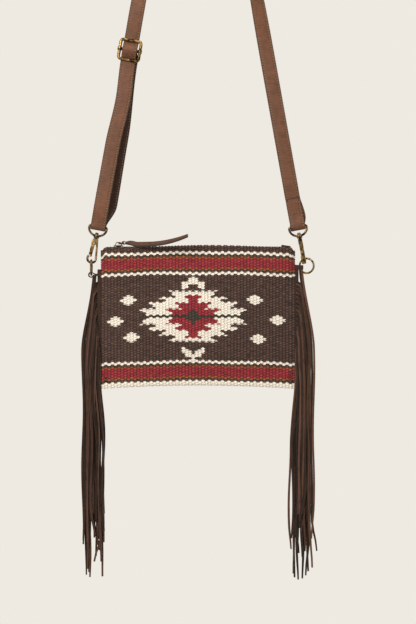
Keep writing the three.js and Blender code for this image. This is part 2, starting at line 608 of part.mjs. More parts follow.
function buildZip() {
  const length = ZIP_LENGTH;
  ["front", "back"].forEach((name, i) => {
    const facing = i === 0 ? -1 : 1;
    const tapeWide = TAPE_HALF - TEETH_GAP;
    const tape = box(length, tapeWide, TAPE_THICK).translate(0, facing * (TEETH_GAP + tapeWide / 2), TAPE_Z);
    const comb = new THREE.Shape();
    const count = Math.floor((length - 18) / TOOTH_PITCH);
    const start = (-count * TOOTH_PITCH) / 2 + (i * TOOTH_PITCH) / 2;
    const low = TAPE_Z - TOOTH_HEIGHT / 2;
    const high = TAPE_Z + TOOTH_HEIGHT / 2;
    comb.moveTo(start, low);
    comb.lineTo(start + count * TOOTH_PITCH - TOOTH_PITCH / 2, low);
    for (let k = count - 1; k >= 0; k -= 1) {
      const x = start + k * TOOTH_PITCH;
      comb.lineTo(x + TOOTH_PITCH * 0.5, high);
      comb.lineTo(x, high);
      if (k > 0) {
        comb.lineTo(x, TAPE_Z + TAPE_THICK / 2 + 0.1);
        comb.lineTo(x - TOOTH_PITCH * 0.5, TAPE_Z + TAPE_THICK / 2 + 0.1);
      }
    }
    comb.closePath();
    const teeth = plateXZ(comb, TOOTH_WIDTH).translate(0, facing * (TEETH_GAP + TOOTH_WIDTH / 2), 0);
    addPiece(`${name}_zip_half`, join(tape, teeth), zipTape);
  });

  const plateLift = TOOTH_HEIGHT / 2 + GAP;
  const wing = 2 * (TEETH_GAP + TOOTH_WIDTH + GAP) + 2;
  const plates = [1, -1].map((up) => box(SLIDER_LENGTH, wing, 1.2).translate(0, 0, up * (plateLift + 0.6)));
  const post = box(SLIDER_LENGTH * 0.45, 2 * (TEETH_GAP - GAP), 2 * plateLift + 0.4);
  const bail = new THREE.Shape();
  bail.moveTo(-4.4, 0);
  bail.lineTo(4.4, 0);
  bail.lineTo(4.4, 2.2);
  bail.lineTo(2.6, 4.6);
  bail.lineTo(-2.6, 4.6);
  bail.lineTo(-4.4, 2.2);
  bail.closePath();
  const opening = new THREE.Path();
  opening.moveTo(-3.2, 0.6);
  opening.lineTo(-3.2, 2);
  opening.lineTo(-2, 3.4);
  opening.lineTo(2, 3.4);
  opening.lineTo(3.2, 2);
  opening.lineTo(3.2, 0.6);
  opening.closePath();
  bail.holes.push(opening);
  const bridge = plateXZ(bail, 2).translate(0, 0, plateLift + 0.9);
  const slider = join(...plates, post, bridge).translate(SLIDER_REST, 0, TAPE_Z);
  addPiece("zip_slider", slider, brass);

  const hang = new THREE.Vector3(SLIDER_REST + 0.4, 0, TAPE_Z + plateLift + 0.9 + 2.1);
  const yaw = PULL_YAW * DEGREE;
  const out = new THREE.Vector3(Math.cos(yaw), -Math.sin(yaw), 0);
  const sideways = new THREE.Vector3(Math.sin(yaw), Math.cos(yaw), 0);
  const ringCentre = hang.clone().addScaledVector(out, PULL_RING_RADIUS);
  ringCentre.z += 0.6;
  const ring = new THREE.TorusGeometry(PULL_RING_RADIUS, PULL_RING_WIRE / 2, 8, 20);
  ring.rotateY(-9 * DEGREE).rotateZ(-yaw).translate(ringCentre.x, ringCentre.y, ringCentre.z);
  addPiece("pull_ring", ring, brass);

  const far = ringCentre.clone().addScaledVector(out, PULL_RING_RADIUS);
  far.z += 0.6;
  const eye = PULL_RING_WIRE / 2 + GAP + 0.45 + PULL_THICK / 4;
  const onPull = (along, up) => {
    const point = far.clone().addScaledVector(out, along);
    point.z += up;
    return { point, across: sideways };
  };
  const stations = [onPull(eye + 2.4, PULL_THICK / 4)];
  for (let i = 0; i <= 8; i += 1) {
    const angle = (60 + 240 * (i / 8)) * DEGREE;
    stations.push(onPull(eye * Math.cos(angle), eye * Math.sin(angle)));
  }
  stations.push(onPull(eye + 2.4, -PULL_THICK / 4));
  const strip = [];
  for (let i = 0; i <= 16; i += 1) {
    const share = i / 16;
    const rise = 11 * Math.max(share - 0.45, 0) ** 2 / 0.3 - 0.4 * smooth(share * 4);
    strip.push(onPull(eye + 1.2 + PULL_LENGTH * share, rise));
  }
  const loop = sweepStrip(stations, PULL_WIDTH * 0.55, PULL_THICK / 2);
  const tongue = sweepStrip(strip, PULL_WIDTH, PULL_THICK);
  addPiece("pull_tab", join(loop, tongue), leather);

  const endLong = 11;
  const endX = HALF_WIDTH - 3 - endLong;
  const endZ = POUCH_TOP - TOP_DROOP * (endX / HALF_WIDTH) ** 2 + GAP;
  const endTop = box(endLong, 2 * TAPE_HALF + 1, 2.4).translate(endX + endLong / 2, 0, endZ + 1.2);
  addPiece("zip_end_tab", endTop, darkLeather);
}

// Each strand leaves the seam sideways, arches over the strands below it and hangs.
function strandStations(side, index) {
  const share = index / (STRAND_COUNT - 1);
  const root = HALF_WIDTH + GAP + 1.9;
  const rootZ = FRINGE_TOP - FRINGE_LENGTH * share;
  const reach = 5 + FRINGE_SPREAD * (1 - share);
  const hop = Math.min(reach * 0.55, 9);
  const depth = ((index % FRINGE_LAYERS) - (FRINGE_LAYERS - 1) / 2) * LAYER_PITCH;
  const wave = Math.abs(Math.sin(index * 2.4 + side));
  const endZ = POUCH_BOTTOM - SHORTEST_DROP - (LONGEST_DROP - SHORTEST_DROP) * (1 - wave * wave);
  const total = rootZ - endZ;
  const drops = [0, 0.008, 0.04, 0.13, 0.4, 1];
  return drops.map((d, i) => {
    const fall = total * d;
    const arch = hop * Math.sqrt(1 - (1 - Math.min(fall / 16, 1)) ** 2);
    const drift = (reach - hop) * smooth(fall / 120) - 2 * smooth((fall - 120) / 200) * (1 - share);
    const point = new THREE.Vector3(side * (root + arch + drift), depth * smooth(fall / 5), rootZ - fall);
    const across = i === 0 ? new THREE.Vector3(0, 0, 1) : new THREE.Vector3(side, 0, 0.4);
    return { point, across };
  });
}

function buildFringe() {
  SIDES.forEach(({ name, side }) => {
    const header = box(2.6, STRAND_THICK, FRINGE_LENGTH + STRAND_WIDTH);
    header.translate(side * (HALF_WIDTH + GAP + 1.4), 0, FRINGE_TOP - FRINGE_LENGTH / 2);
    const strands = Array.from({ length: STRAND_COUNT }, (unused, i) => {
      return sweepStrip(strandStations(side, i), STRAND_WIDTH, STRAND_THICK);
    });
    addPiece(`${name}_fringe`, join(header, ...strands), darkLeather);
  });
}

buildStrap();
buildAdjuster();
buildLinks();
buildPouch();
buildZip();
buildFringe();

export default bag;
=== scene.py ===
import json
import math

import bpy
import numpy as np
from bpy.props import FloatProperty, FloatVectorProperty, IntProperty, PointerProperty
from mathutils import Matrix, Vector


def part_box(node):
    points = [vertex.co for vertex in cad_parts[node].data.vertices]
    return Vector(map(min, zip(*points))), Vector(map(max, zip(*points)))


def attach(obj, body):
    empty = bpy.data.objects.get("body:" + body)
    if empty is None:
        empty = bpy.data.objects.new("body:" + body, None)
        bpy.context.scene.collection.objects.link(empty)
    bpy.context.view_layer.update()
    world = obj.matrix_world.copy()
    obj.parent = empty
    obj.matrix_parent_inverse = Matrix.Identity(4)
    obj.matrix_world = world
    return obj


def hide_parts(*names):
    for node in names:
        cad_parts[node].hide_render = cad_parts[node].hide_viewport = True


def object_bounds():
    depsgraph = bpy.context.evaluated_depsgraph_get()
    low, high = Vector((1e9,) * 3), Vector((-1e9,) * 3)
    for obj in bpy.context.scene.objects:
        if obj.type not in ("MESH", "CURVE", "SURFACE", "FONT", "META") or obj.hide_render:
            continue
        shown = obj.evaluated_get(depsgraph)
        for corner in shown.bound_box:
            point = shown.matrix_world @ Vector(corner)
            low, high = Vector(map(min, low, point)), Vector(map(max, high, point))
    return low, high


bl_info = {
    "name": "Fringed Woven Bag",
    "version": (1, 0, 0),
    "blender": (4, 5, 0),
    "location": "View3D > Sidebar > Fringed Bag",
    "description": "Weaves, sews and lights a small fringed shoulder bag round its fittings",
    "category": "Add Mesh",
}

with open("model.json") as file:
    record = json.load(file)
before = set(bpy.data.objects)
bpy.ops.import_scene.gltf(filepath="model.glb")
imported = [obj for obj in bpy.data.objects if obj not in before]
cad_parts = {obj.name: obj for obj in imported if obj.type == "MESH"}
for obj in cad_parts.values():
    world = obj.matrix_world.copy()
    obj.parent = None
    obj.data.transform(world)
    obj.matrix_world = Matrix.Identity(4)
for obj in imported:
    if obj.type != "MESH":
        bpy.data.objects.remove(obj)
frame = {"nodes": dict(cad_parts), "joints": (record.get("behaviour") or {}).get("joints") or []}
CAD_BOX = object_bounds()
JOINTS = {joint["name"]: joint for joint in frame["joints"]}

MM = 0.001
POUCH_LOW, POUCH_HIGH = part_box("woven_pouch")
HALF_WIDTH = POUCH_HIGH.x
POUCH_TOP = POUCH_HIGH.z
EYE_BAR = Vector(JOINTS["right_swivel"]["pos_m"])
STRAP_LEAN = math.atan2(-JOINTS["right_swivel"]["axis"][0], JOINTS["right_swivel"]["axis"][2])
ADJUSTER_LOW, ADJUSTER_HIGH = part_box("adjuster_bar")
ADJUSTER_HEIGHT = ((ADJUSTER_LOW.z + ADJUSTER_HIGH.z) / 2 - EYE_BAR.z) / math.cos(STRAP_LEAN)
FRINGE_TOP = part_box("right_fringe")[1].z


# Colour

def linear(hex_colour):
    """An sRGB hex value as the linear colour that shaders and attributes take."""
    levels = [int(hex_colour[i:i + 2], 16) / 255 for i in (1, 3, 5)]
    return tuple(level / 12.92 if level <= 0.04045 else ((level + 0.055) / 1.055) ** 2.4 for level in levels)


def colour_property(name, description, hex_colour):
    return FloatVectorProperty(
        name=name, description=description, subtype="COLOR", size=3, min=0, max=1,
        default=linear(hex_colour),
    )


def length_property(name, description, millimetres):
    return FloatProperty(name=name, description=description, default=millimetres * MM, unit="LENGTH")


# Settings

class ClothSettings(bpy.types.PropertyGroup):
    warp_pitch: length_property("Warp pitch", "Distance between two warp threads", 4.1)
    pick_height: length_property("Pick height", "Height of one weft pick, packed tight", 1.6)
    relief: length_property("Relief", "How far a weft grain stands out over its warp", 1.3)
    cloth_thick: length_property("Thickness", "Thickness of the woven cloth at the hem", 2.3)
    mouth_half_depth: length_property("Mouth half depth", "Half the depth of the pouch at its zip", 7.6)
    fold_half_depth: length_property("Fold half depth", "Half the depth of the fold at the bottom", 3.4)
    edge_half_depth: length_property("Seam half depth", "Half the depth of a side seam", 0.6)
    top_droop: length_property("Top droop", "How far the top corners hang below the middle", 2.0)
    bottom_droop: length_property("Bottom droop", "How far the bottom corners hang below the middle", 4.5)
    corner_drop: length_property("Corner drop", "How far the top corners are rounded down", 4.0)
    rim_wave: length_property("Rim wave", "How far the zip's edge waves up and down", 0.8)
    ground: colour_property("Ground yarn", "Dark brown ground of the cloth", "#4e3930")
    cream: colour_property("Cream yarn", "Cream lines and steps", "#f5ebdb")
    red: colour_property("Red yarn", "Red stripes and inner steps", "#9c3338")
    orange: colour_property("Orange yarn", "Thin lines beside the red", "#a2602c")
    core: colour_property("Core yarn", "Dark middle of the figure", "#40372d")


class StrapSettings(bpy.types.PropertyGroup):
    width: length_property("Width", "Width of the strap", 19)
    thick: length_property("Thickness", "Thickness of the strap", 2)
    stitch_pitch: length_property("Stitch pitch", "Distance from one stitch to the next", 3.4)
    stitch_inset: length_property("Stitch inset", "Distance of the stitching from the edge", 2.3)
    grain_colour: colour_property("Grain side", "Brown of the smooth side", "#6b4530")
    flesh_colour: colour_property("Flesh side", "Brown of the rough inner side", "#40291c")
    edge_colour: colour_property("Edge", "Burnished edge", "#3a271e")
    thread: colour_property("Thread", "Sewing thread of the strap", "#94704f")


class FringeSettings(bpy.types.PropertyGroup):
    strands: IntProperty(name="Strands", description="Strands on each side", default=34, min=4, max=60)
    strand_width: length_property("Strand width", "Width of a cut strand", 3.3)
    strand_thick: length_property("Strand thickness", "Thickness of the suede", 1.25)
    strand_cup: length_property("Strand cup", "How far a strand curls up across its width", 0.9)
    tab_thick: length_property("Tab thickness", "Thickness of a ring tab's leaf", 1.5)
    tab_width: length_property("Tab width", "Width of a ring tab", 6.4)
    longest_drop: length_property("Longest drop", "Longest strand below the pouch", 247)
    shortest_drop: length_property("Shortest drop", "Shortest strand below the pouch", 134)
    suede: colour_property("Suede", "Dark brown of the nap", "#38251a")


class BrassSettings(bpy.types.PropertyGroup):
    bright: colour_property("Bright brass", "Rubbed brass on the high places", "#ab8a58")
    dark: colour_property("Dark patina", "Brown patina in the hollows", "#24180d")
    steel: colour_property("Steel", "Gate pins and springs", "#8f8f92")


class StageSettings(bpy.types.PropertyGroup):
    paper: colour_property("Backdrop", "Pale paper behind the bag", "#eeeae2")
    photo_width: IntProperty(name="Picture width", description="Width of the picture in pixels", default=416)
    photo_height: IntProperty(
        name="Picture height", description="Height of the picture in pixels", default=624)
    pixel: length_property("Pixel", "What a pixel of the picture spans at the bag", 1.27)
    middle_pixel_x: FloatProperty(
        name="Middle x", description="Pixel column of the pouch's middle", default=198)
    top_pixel_y: FloatProperty(name="Top y", description="Pixel row of the pouch's top edge", default=245.8)
    distance: length_property("Distance", "Distance of the camera from the bag", 2200)


# Materials

def add_node(material, kind, links=(), **settings):
    """Adds a node, sets its properties and input values, and links (input, source socket) pairs."""
    node = material.node_tree.nodes.new(kind)
    for name, value in settings.items():
        if hasattr(node, name):
            setattr(node, name, value)
        else:
            node.inputs[name.replace("_", " ")].default_value = value
    for target, source in links:
        material.node_tree.links.new(source, node.inputs[target])
    return node


def new_material(name, **values):
    """A material and its Principled shader, with these input values."""
    material = bpy.data.materials.new(name)
    material.use_nodes = True
    shader = material.node_tree.nodes["Principled BSDF"]
    for target, value in values.items():
        shader.inputs[target.replace("_", " ")].default_value = value
    return material, shader


def connect(material, source, shader, target):
    material.node_tree.links.new(source, shader.inputs[target])


def set_ramp(ramp, *stops):
    """Gives a colour ramp its two (position, colour, tone) stops."""
    for element, (position, colour, tone) in zip(ramp.color_ramp.elements, stops):
        element.position = position
        element.color = (*[tone * level for level in colour], 1)


def spun_yarn():
    """Wool weft spun thick and packed tight: matt, a little fuzzy, each pick a shade of its own."""
    material, shader = new_material(
        "spun_wool_yarn",
        Roughness=0.92, Specular_IOR_Level=0.2, Sheen_Weight=0.12, Sheen_Roughness=0.6,
    )
    # The colour attribute holds each pick's yarn, with painted shade in the furrows and a painted highlight
    # on each grain's crown
    shade = add_node(material, "ShaderNodeVertexColor", layer_name="dye_and_shade")
    place = add_node(material, "ShaderNodeTexCoord")
    stretch = add_node(
        material, "ShaderNodeMapping", [("Vector", place.outputs["Object"])], Scale=(0.45, 1, 1.25),
    )
    # Wool fibres are finer than a pixel, so their streaks are drawn 0.9 mm coarse to show
    fibre = add_node(
        material, "ShaderNodeTexNoise", [("Vector", stretch.outputs["Vector"])],
        Scale=1 / (0.9 * MM), Detail=3.0, Roughness=0.6,
    )
    tone = add_node(
        material, "ShaderNodeMapRange", [("Value", fibre.outputs["Fac"])], To_Min=0.72, To_Max=1.3,
    )
    mixed = add_node(
        material, "ShaderNodeMix", [(6, shade.outputs["Color"]), (7, tone.outputs["Result"])],
        data_type="RGBA", blend_type="MULTIPLY", Factor=1,
    )
    bump = add_node(
        material, "ShaderNodeBump", [("Height", fibre.outputs["Fac"])], Strength=0.5, Distance=0.35 * MM,
    )
    connect(material, mixed.outputs[2], shader, "Base Color")
    connect(material, bump.outputs["Normal"], shader, "Normal")
    return material


def strap_leather():
    """Oiled cowhide with a printed pebble: a soft gloss broken by pores, darker on the burnished edge."""
    material, shader = new_material("oiled_cowhide", Specular_IOR_Level=0.28)
    shade = add_node(material, "ShaderNodeVertexColor", layer_name="dye_and_shade")
    place = add_node(material, "ShaderNodeTexCoord")
    pebble = add_node(
        material, "ShaderNodeTexVoronoi", [("Vector", place.outputs["Object"])], Scale=1 / (1.3 * MM),
    )
    cloud = add_node(
        material, "ShaderNodeTexNoise", [("Vector", place.outputs["Object"])],
        Scale=1 / (22 * MM), Detail=4.0, Roughness=0.65,
    )
    lay = add_node(
        material, "ShaderNodeMapping", [("Vector", place.outputs["Object"])], Scale=(0.4, 1, 1),
    )
    # Creases across the strap, painted as shade and light in the colour, drawn 2.6 mm coarse to show at the
    # picture's size
    crease_shade = add_node(
        material, "ShaderNodeTexNoise", [("Vector", lay.outputs["Vector"])],
        Scale=1 / (2.6 * MM), Detail=3.0, Roughness=0.7,
    )
    mottle_and_crease_shade = add_node(
        material, "ShaderNodeMath", [(0, cloud.outputs["Fac"]), (1, crease_shade.outputs["Fac"])], operation="ADD",
    )
    tone = add_node(
        material, "ShaderNodeMapRange", [("Value", mottle_and_crease_shade.outputs["Value"])],
        From_Min=0.65, From_Max=1.35, To_Min=0.62, To_Max=1.4,
    )
    mixed = add_node(
        material, "ShaderNodeMix", [(6, shade.outputs["Color"]), (7, tone.outputs["Result"])],
        data_type="RGBA", blend_type="MULTIPLY", Factor=1,
    )
    gloss = add_node(
        material, "ShaderNodeMapRange", [("Value", cloud.outputs["Fac"])], To_Min=0.5, To_Max=0.68,
    )
    bump = add_node(
        material, "ShaderNodeBump", [("Height", pebble.outputs["Distance"])],
        Strength=0.35, Distance=0.25 * MM,
    )
    connect(material, mixed.outputs[2], shader, "Base Color")
    connect(material, gloss.outputs["Result"], shader, "Roughness")
    connect(material, bump.outputs["Normal"], shader, "Normal")
    return material


def napped_suede(name, colour, dyed_and_shaded=False):
    """Split hide brushed to a nap: no gloss, a dusty edge light and soft blotches where the nap lies over."""
    material, shader = new_material(
        name, Roughness=0.85, Specular_IOR_Level=0.3, Sheen_Weight=0.1, Sheen_Roughness=0.5,
    )
    place = add_node(material, "ShaderNodeTexCoord")
    lay = add_node(
        material, "ShaderNodeMapping", [("Vector", place.outputs["Object"])], Scale=(1, 1, 0.3),
    )
    # Real nap is finer than a pixel, so its streaks are drawn 2.4 mm coarse to show
    nap = add_node(
        material, "ShaderNodeTexNoise", [("Vector", lay.outputs["Vector"])],
        Scale=1 / (2.4 * MM), Detail=4.0, Roughness=0.7,
    )
    blotch = add_node(
        material, "ShaderNodeTexNoise", [("Vector", place.outputs["Object"])],
        Scale=1 / (14 * MM), Detail=2.0,
    )
    both = add_node(
        material, "ShaderNodeMath", [(0, nap.outputs["Fac"]), (1, blotch.outputs["Fac"])], operation="ADD",
    )
    ramp = add_node(material, "ShaderNodeValToRGB", [("Fac", both.outputs["Value"])])
    set_ramp(ramp, (0.6, colour, 0.55), (1, colour, 1.5))
    bump = add_node(
        material, "ShaderNodeBump", [("Height", nap.outputs["Fac"])], Strength=0.45, Distance=0.3 * MM,
    )
    if dyed_and_shaded:
        # The colour attribute holds the strands' tones, with painted light and painted shade on alternate
        # strands
        shade = add_node(material, "ShaderNodeVertexColor", layer_name="dye_and_shade")
        mixed = add_node(
            material, "ShaderNodeMix", [(6, ramp.outputs["Color"]), (7, shade.outputs["Color"])],
            data_type="RGBA", blend_type="MULTIPLY", Factor=1,
        )
        connect(material, mixed.outputs[2], shader, "Base Color")
    else:
        connect(material, ramp.outputs["Color"], shader, "Base Color")
    connect(material, bump.outputs["Normal"], shader, "Normal")
    return material


def antique_brass(settings):
    """Cast brass, dipped dark and rubbed back: bright on the rounds, brown in the hollows, a soft sheen."""
    material, shader = new_material("antiqued_cast_brass", Metallic=1)
    place = add_node(material, "ShaderNodeTexCoord")
    wear = add_node(
        material, "ShaderNodeTexNoise", [("Vector", place.outputs["Object"])],
        Scale=1 / (5 * MM), Detail=5.0, Roughness=0.6,
    )
    shape = add_node(material, "ShaderNodeNewGeometry")
    rub = add_node(
        material, "ShaderNodeMapRange", [("Value", shape.outputs["Pointiness"])],
        From_Min=0.45, From_Max=0.68, To_Min=-0.15, To_Max=0.3,
    )
    both = add_node(
        material, "ShaderNodeMath", [(0, wear.outputs["Fac"]), (1, rub.outputs["Result"])], operation="ADD",
    )
    ramp = add_node(material, "ShaderNodeValToRGB", [("Fac", both.outputs["Value"])])
    set_ramp(ramp, (0.38, settings.dark, 1), (0.7, settings.bright, 1))
    gloss = add_node(
        material, "ShaderNodeMapRange", [("Value", both.outputs["Value"])], To_Min=0.48, To_Max=0.26,
    )
    connect(material, ramp.outputs["Color"], shader, "Base Color")
    connect(material, gloss.outputs["Result"], shader, "Roughness")
    return material


def drawn_steel(settings):
    """Drawn steel wire: grey, with faint lines along it and a dull gloss."""
    material, shader = new_material("drawn_steel", Base_Color=(*settings.steel, 1), Metallic=1)
    place = add_node(material, "ShaderNodeTexCoord")
    # Drawing lines are finer than a pixel, so they are drawn 0.8 mm coarse to show
    lines = add_node(
        material, "ShaderNodeTexNoise", [("Vector", place.outputs["Object"])],
        Scale=1 / (0.8 * MM), Detail=2.0,
    )
    tone = add_node(material, "ShaderNodeMapRange", [("Value", lines.outputs["Fac"])], To_Min=0.3, To_Max=0.5)
    connect(material, tone.outputs["Result"], shader, "Roughness")
    return material


def plain_weave(name, colour, thread):
    """Plain-woven cotton: matt, with a checked bump from its threads, drawn coarser than real to show."""
    material, shader = new_material(name, Roughness=0.9, Specular_IOR_Level=0.2)
    place = add_node(material, "ShaderNodeTexCoord")
    check = add_node(
        material, "ShaderNodeTexChecker", [("Vector", place.outputs["Object"])], Scale=1 / thread,
    )
    haze = add_node(
        material, "ShaderNodeTexNoise", [("Vector", place.outputs["Object"])], Scale=1 / (6 * MM), Detail=3.0,
    )
    ramp = add_node(material, "ShaderNodeValToRGB", [("Fac", haze.outputs["Fac"])])
    set_ramp(ramp, (0, colour, 0.7), (1, colour, 1.3))
    bump = add_node(
        material, "ShaderNodeBump", [("Height", check.outputs["Fac"])], Strength=0.4, Distance=0.15 * MM,
    )
    connect(material, ramp.outputs["Color"], shader, "Base Color")
    connect(material, bump.outputs["Normal"], shader, "Normal")
    return material


def sewing_thread(colour):
    """Waxed twisted thread: a dull gloss, lighter where the twist turns up."""
    material, shader = new_material("waxed_thread", Roughness=0.6)
    place = add_node(material, "ShaderNodeTexCoord")
    twist = add_node(
        material, "ShaderNodeTexNoise", [("Vector", place.outputs["Object"])],
        Scale=1 / (0.7 * MM), Detail=2.0,
    )
    ramp = add_node(material, "ShaderNodeValToRGB", [("Fac", twist.outputs["Fac"])])
    set_ramp(ramp, (0, colour, 0.7), (1, colour, 1.35))
    connect(material, ramp.outputs["Color"], shader, "Base Color")
    return material


def seen_rays(tree):
    """A socket that is 1 for rays that look at the background: straight, mirrored or through glass."""
    path = add_node(tree, "ShaderNodeLightPath")
    mirrored = add_node(
        tree, "ShaderNodeMath",
        [(0, path.outputs["Is Camera Ray"]), (1, path.outputs["Is Glossy Ray"])], operation="MAXIMUM",
    )
    through = add_node(
        tree, "ShaderNodeMath",
        [(0, mirrored.outputs["Value"]), (1, path.outputs["Is Transmission Ray"])], operation="MAXIMUM",
    )
    return through.outputs["Value"]


def studio_paper(colour, radius):
    """Matt studio paper: even and pale, with the bag's shadow in the middle and none at its edge."""
    material, shader = new_material(
        "studio_paper", Base_Color=(*colour, 1), Roughness=0.95, Specular_IOR_Level=0.1,
    )
    place = add_node(material, "ShaderNodeTexCoord")
    away = add_node(material, "ShaderNodeVectorMath", [(0, place.outputs["Object"])], operation="LENGTH")
    even = add_node(
        material, "ShaderNodeMapRange", [("Value", away.outputs["Value"])],
        From_Min=0.3 * radius, From_Max=0.95 * radius, To_Min=0.7, To_Max=1.0,
    )
    share = add_node(
        material, "ShaderNodeMath", [(0, seen_rays(material)), (1, even.outputs["Result"])],
        operation="MULTIPLY",
    )
    glow = add_node(material, "ShaderNodeEmission", Color=(*colour, 1))
    blend = add_node(
        material, "ShaderNodeMixShader",
        [(0, share.outputs["Value"]), (1, shader.outputs["BSDF"]), (2, glow.outputs["Emission"])],
    )
    connect(material, blend.outputs["Shader"], material.node_tree.nodes["Material Output"], "Surface")
    return material


# Meshes

def make_piece(name, points, faces, material, dyes_and_shade=None, smooth_angle=None):
    """A mesh object in the scene, with a colour for each face or each corner if given: the dye, and in places
    painted shade and painted highlight.
    """
    mesh = bpy.data.meshes.new(name)
    mesh.from_pydata([tuple(point) for point in points], [], [tuple(int(i) for i in face) for face in faces])
    mesh.polygons.foreach_set("use_smooth", [True] * len(mesh.polygons))
    if dyes_and_shade is not None:
        layer = mesh.color_attributes.new("dye_and_shade", "FLOAT_COLOR", "CORNER")
        dyes_and_shade = np.asarray(dyes_and_shade, np.float32)
        if len(dyes_and_shade) == len(faces):
            dyes_and_shade = np.repeat(dyes_and_shade, [len(face) for face in faces], axis=0)
        colours = np.ones((len(dyes_and_shade), 4), np.float32)
        colours[:, :3] = dyes_and_shade
        layer.data.foreach_set("color", colours.ravel())
    if smooth_angle is not None:
        mesh.set_sharp_from_angle(angle=smooth_angle)
    mesh.materials.append(material)
    piece = bpy.data.objects.new(name, mesh)
    bpy.context.scene.collection.objects.link(piece)
    return piece


def set_in_place(piece, body, slot, *nodes):
    """Says which body a piece rides and the CAD nodes that it stands for; its slot is not used."""
    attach(piece, body)
    if nodes:
        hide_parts(*nodes)
    return piece


def ease(value):
    """Smooth step from 0 to 1."""
    share = np.clip(value, 0, 1)
    return share * share * (3 - 2 * share)


def unit(vectors):
    return vectors / np.maximum(np.linalg.norm(vectors, axis=-1, keepdims=True), 1e-12)


def tube_faces(rings, sides, start=0):
    """Faces of a closed tube whose rings of points follow each other, with both ends capped."""
    faces = []
    for ring in range(rings - 1):
        for k in range(sides):
            low, after = start + ring * sides + k, start + ring * sides + (k + 1) % sides
            faces.append((low, after, after + sides, low + sides))
    last = start + (rings - 1) * sides
    faces.append(tuple(range(start + sides - 1, start - 1, -1)))
    faces.append(tuple(range(last, last + sides)))
    return faces


def grid_faces(wide, tall, start=0):
    """Faces of a grid of points that lie row by row."""
    rows = [start + j * wide for j in range(tall - 1)]
    return [(low, low + wide, low + wide + 1, low + 1) for row in rows for low in range(row, row + wide - 1)]


def flipped(faces):
    """The same faces, looking the other way."""
    return [face[::-1] for face in faces]


class Strip:
    """A strip of leather along stations: its middle line, and the directions across and out of its face."""

    def __init__(self, points, across):
        self.points = np.array(points, float)
        ahead = np.roll(self.points, -1, axis=0)
        behind = np.roll(self.points, 1, axis=0)
        ahead[-1] = self.points[-1]
        behind[0] = self.points[0]
        self.tangent = unit(ahead - behind)
        across = np.array(across, float)
        self.across = unit(across - self.tangent * (across * self.tangent).sum(1, keepdims=True))
        self.out = np.cross(self.tangent, self.across)

    def run(self):
        """Distance along the strip at each station."""
        steps = np.linalg.norm(np.diff(self.points, axis=0), axis=1)
        return np.concatenate([[0], np.cumsum(steps)])

    def place(self, sideways, outward):
        """The points at these offsets from the middle line, one for each station."""
        return self.points + self.across * sideways + self.out * outward


def rounded_section(width, thick, corner, face=((0.4, 0),), cup=0.0):
    """A strip's section: round edges, and faces with (share of half width, rise) places, all cupped."""
    outline = []
    for side_x, side_y, start in ((1, -1, -90), (1, 1, 0), (-1, 1, 90), (-1, -1, 180)):
        for angle in (start, start + 45, start + 90):
            turn = math.radians(angle)
            outline.append((
                side_x * (width / 2 - corner) + corner * math.cos(turn),
                side_y * (thick / 2 - corner) + corner * math.sin(turn),
            ))
        if side_x == side_y:
            across = [(side_x * x, rise) for x, rise in face]
            across += [(-side_x * x, rise) for x, rise in reversed(face)]
            outline += [(x * width / 2, side_y * (thick / 2 + rise) + cup) for x, rise in across]
    return outline


def sweep(strip, section, taper=None, start=0):
    """Points and faces of a closed strip with that section at every station, numbered from start."""
    widths = np.ones(len(strip.points)) if taper is None else np.asarray(taper)
    rails = [strip.place((x * widths)[:, None], y) for x, y in section]
    points = np.stack(rails, axis=1).reshape(-1, 3)
    return points, tube_faces(len(strip.points), len(section), start)


STITCH_SIDES = 6
STITCH_RINGS = ((-0.5, 0.25), (-0.3, 0.85), (0, 1), (0.3, 0.85), (0.5, 0.25))


def stitches(name, centres, along, out, size, material):
    """One mesh of small sewn stitches, each a spindle along its seam; directions for each or for all."""
    length, radius = size
    centres = np.asarray(centres, float)
    along, out = (unit(np.broadcast_to(np.asarray(way, float), centres.shape)) for way in (along, out))
    beside = np.cross(along, out)
    turns = [2 * math.pi * k / STITCH_SIDES for k in range(STITCH_SIDES)]
    template = np.array([
        (share * length, girth * radius * math.cos(turn), girth * radius * math.sin(turn))
        for share, girth in STITCH_RINGS for turn in turns
    ])
    points = (
        centres[:, None, :]
        + template[None, :, :1] * along[:, None, :]
        + template[None, :, 1:2] * beside[:, None, :]
        + template[None, :, 2:] * out[:, None, :]
    ).reshape(-1, 3)
    faces = []
    for start in range(0, len(points), len(template)):
        faces += tube_faces(len(STITCH_RINGS), STITCH_SIDES, start)
    return make_piece(name, points, faces, material)


# Woven figure: the bands in picks above the bottom fold, the rest in millimetres from the figure's middle

BAND_STARTS = (3, 89)
BAND_PICKS = (
    ("cream", 2), ("ground", 2), ("orange", 1), ("red", 8), ("orange", 1), ("ground", 2), ("cream", 2),
)
FIGURE_MIDDLE = -6.15
FIGURE_MIDDLE_PICK = 56
CREAM_TIERS = ((31.8, 31.0, 21.5), (24.5, 43.0, 32.0), (16.9, 56.0, 43.5), (8.9, 67.0, 56.0))
RED_TIERS = ((27.0, 9.5, 5.0), (16.8, 22.5, 14.5), (9.2, 34.0, 24.5))
CORE_DIAMOND = (12.0, 10.0)
MIDDLE_LINE = 1.0
CHEVRON_HALF_WIDTH = 14.6
CHEVRON_SLOPE = 0.68
CHEVRON_UP = (50.8, 8.6)
CHEVRON_DOWN = (56.1, 8.2)
SMALL_DIAMONDS = ((-80.8, 21.7), (-100.2, -3.3), (-79.0, -25.1), (79.6, 21.7), (105.4, -1.8), (82.0, -27.6))
SMALL_DIAMOND_SIZE = (9.3, 6.6)
SMALL_DIAMOND_BLUNT = 1.35


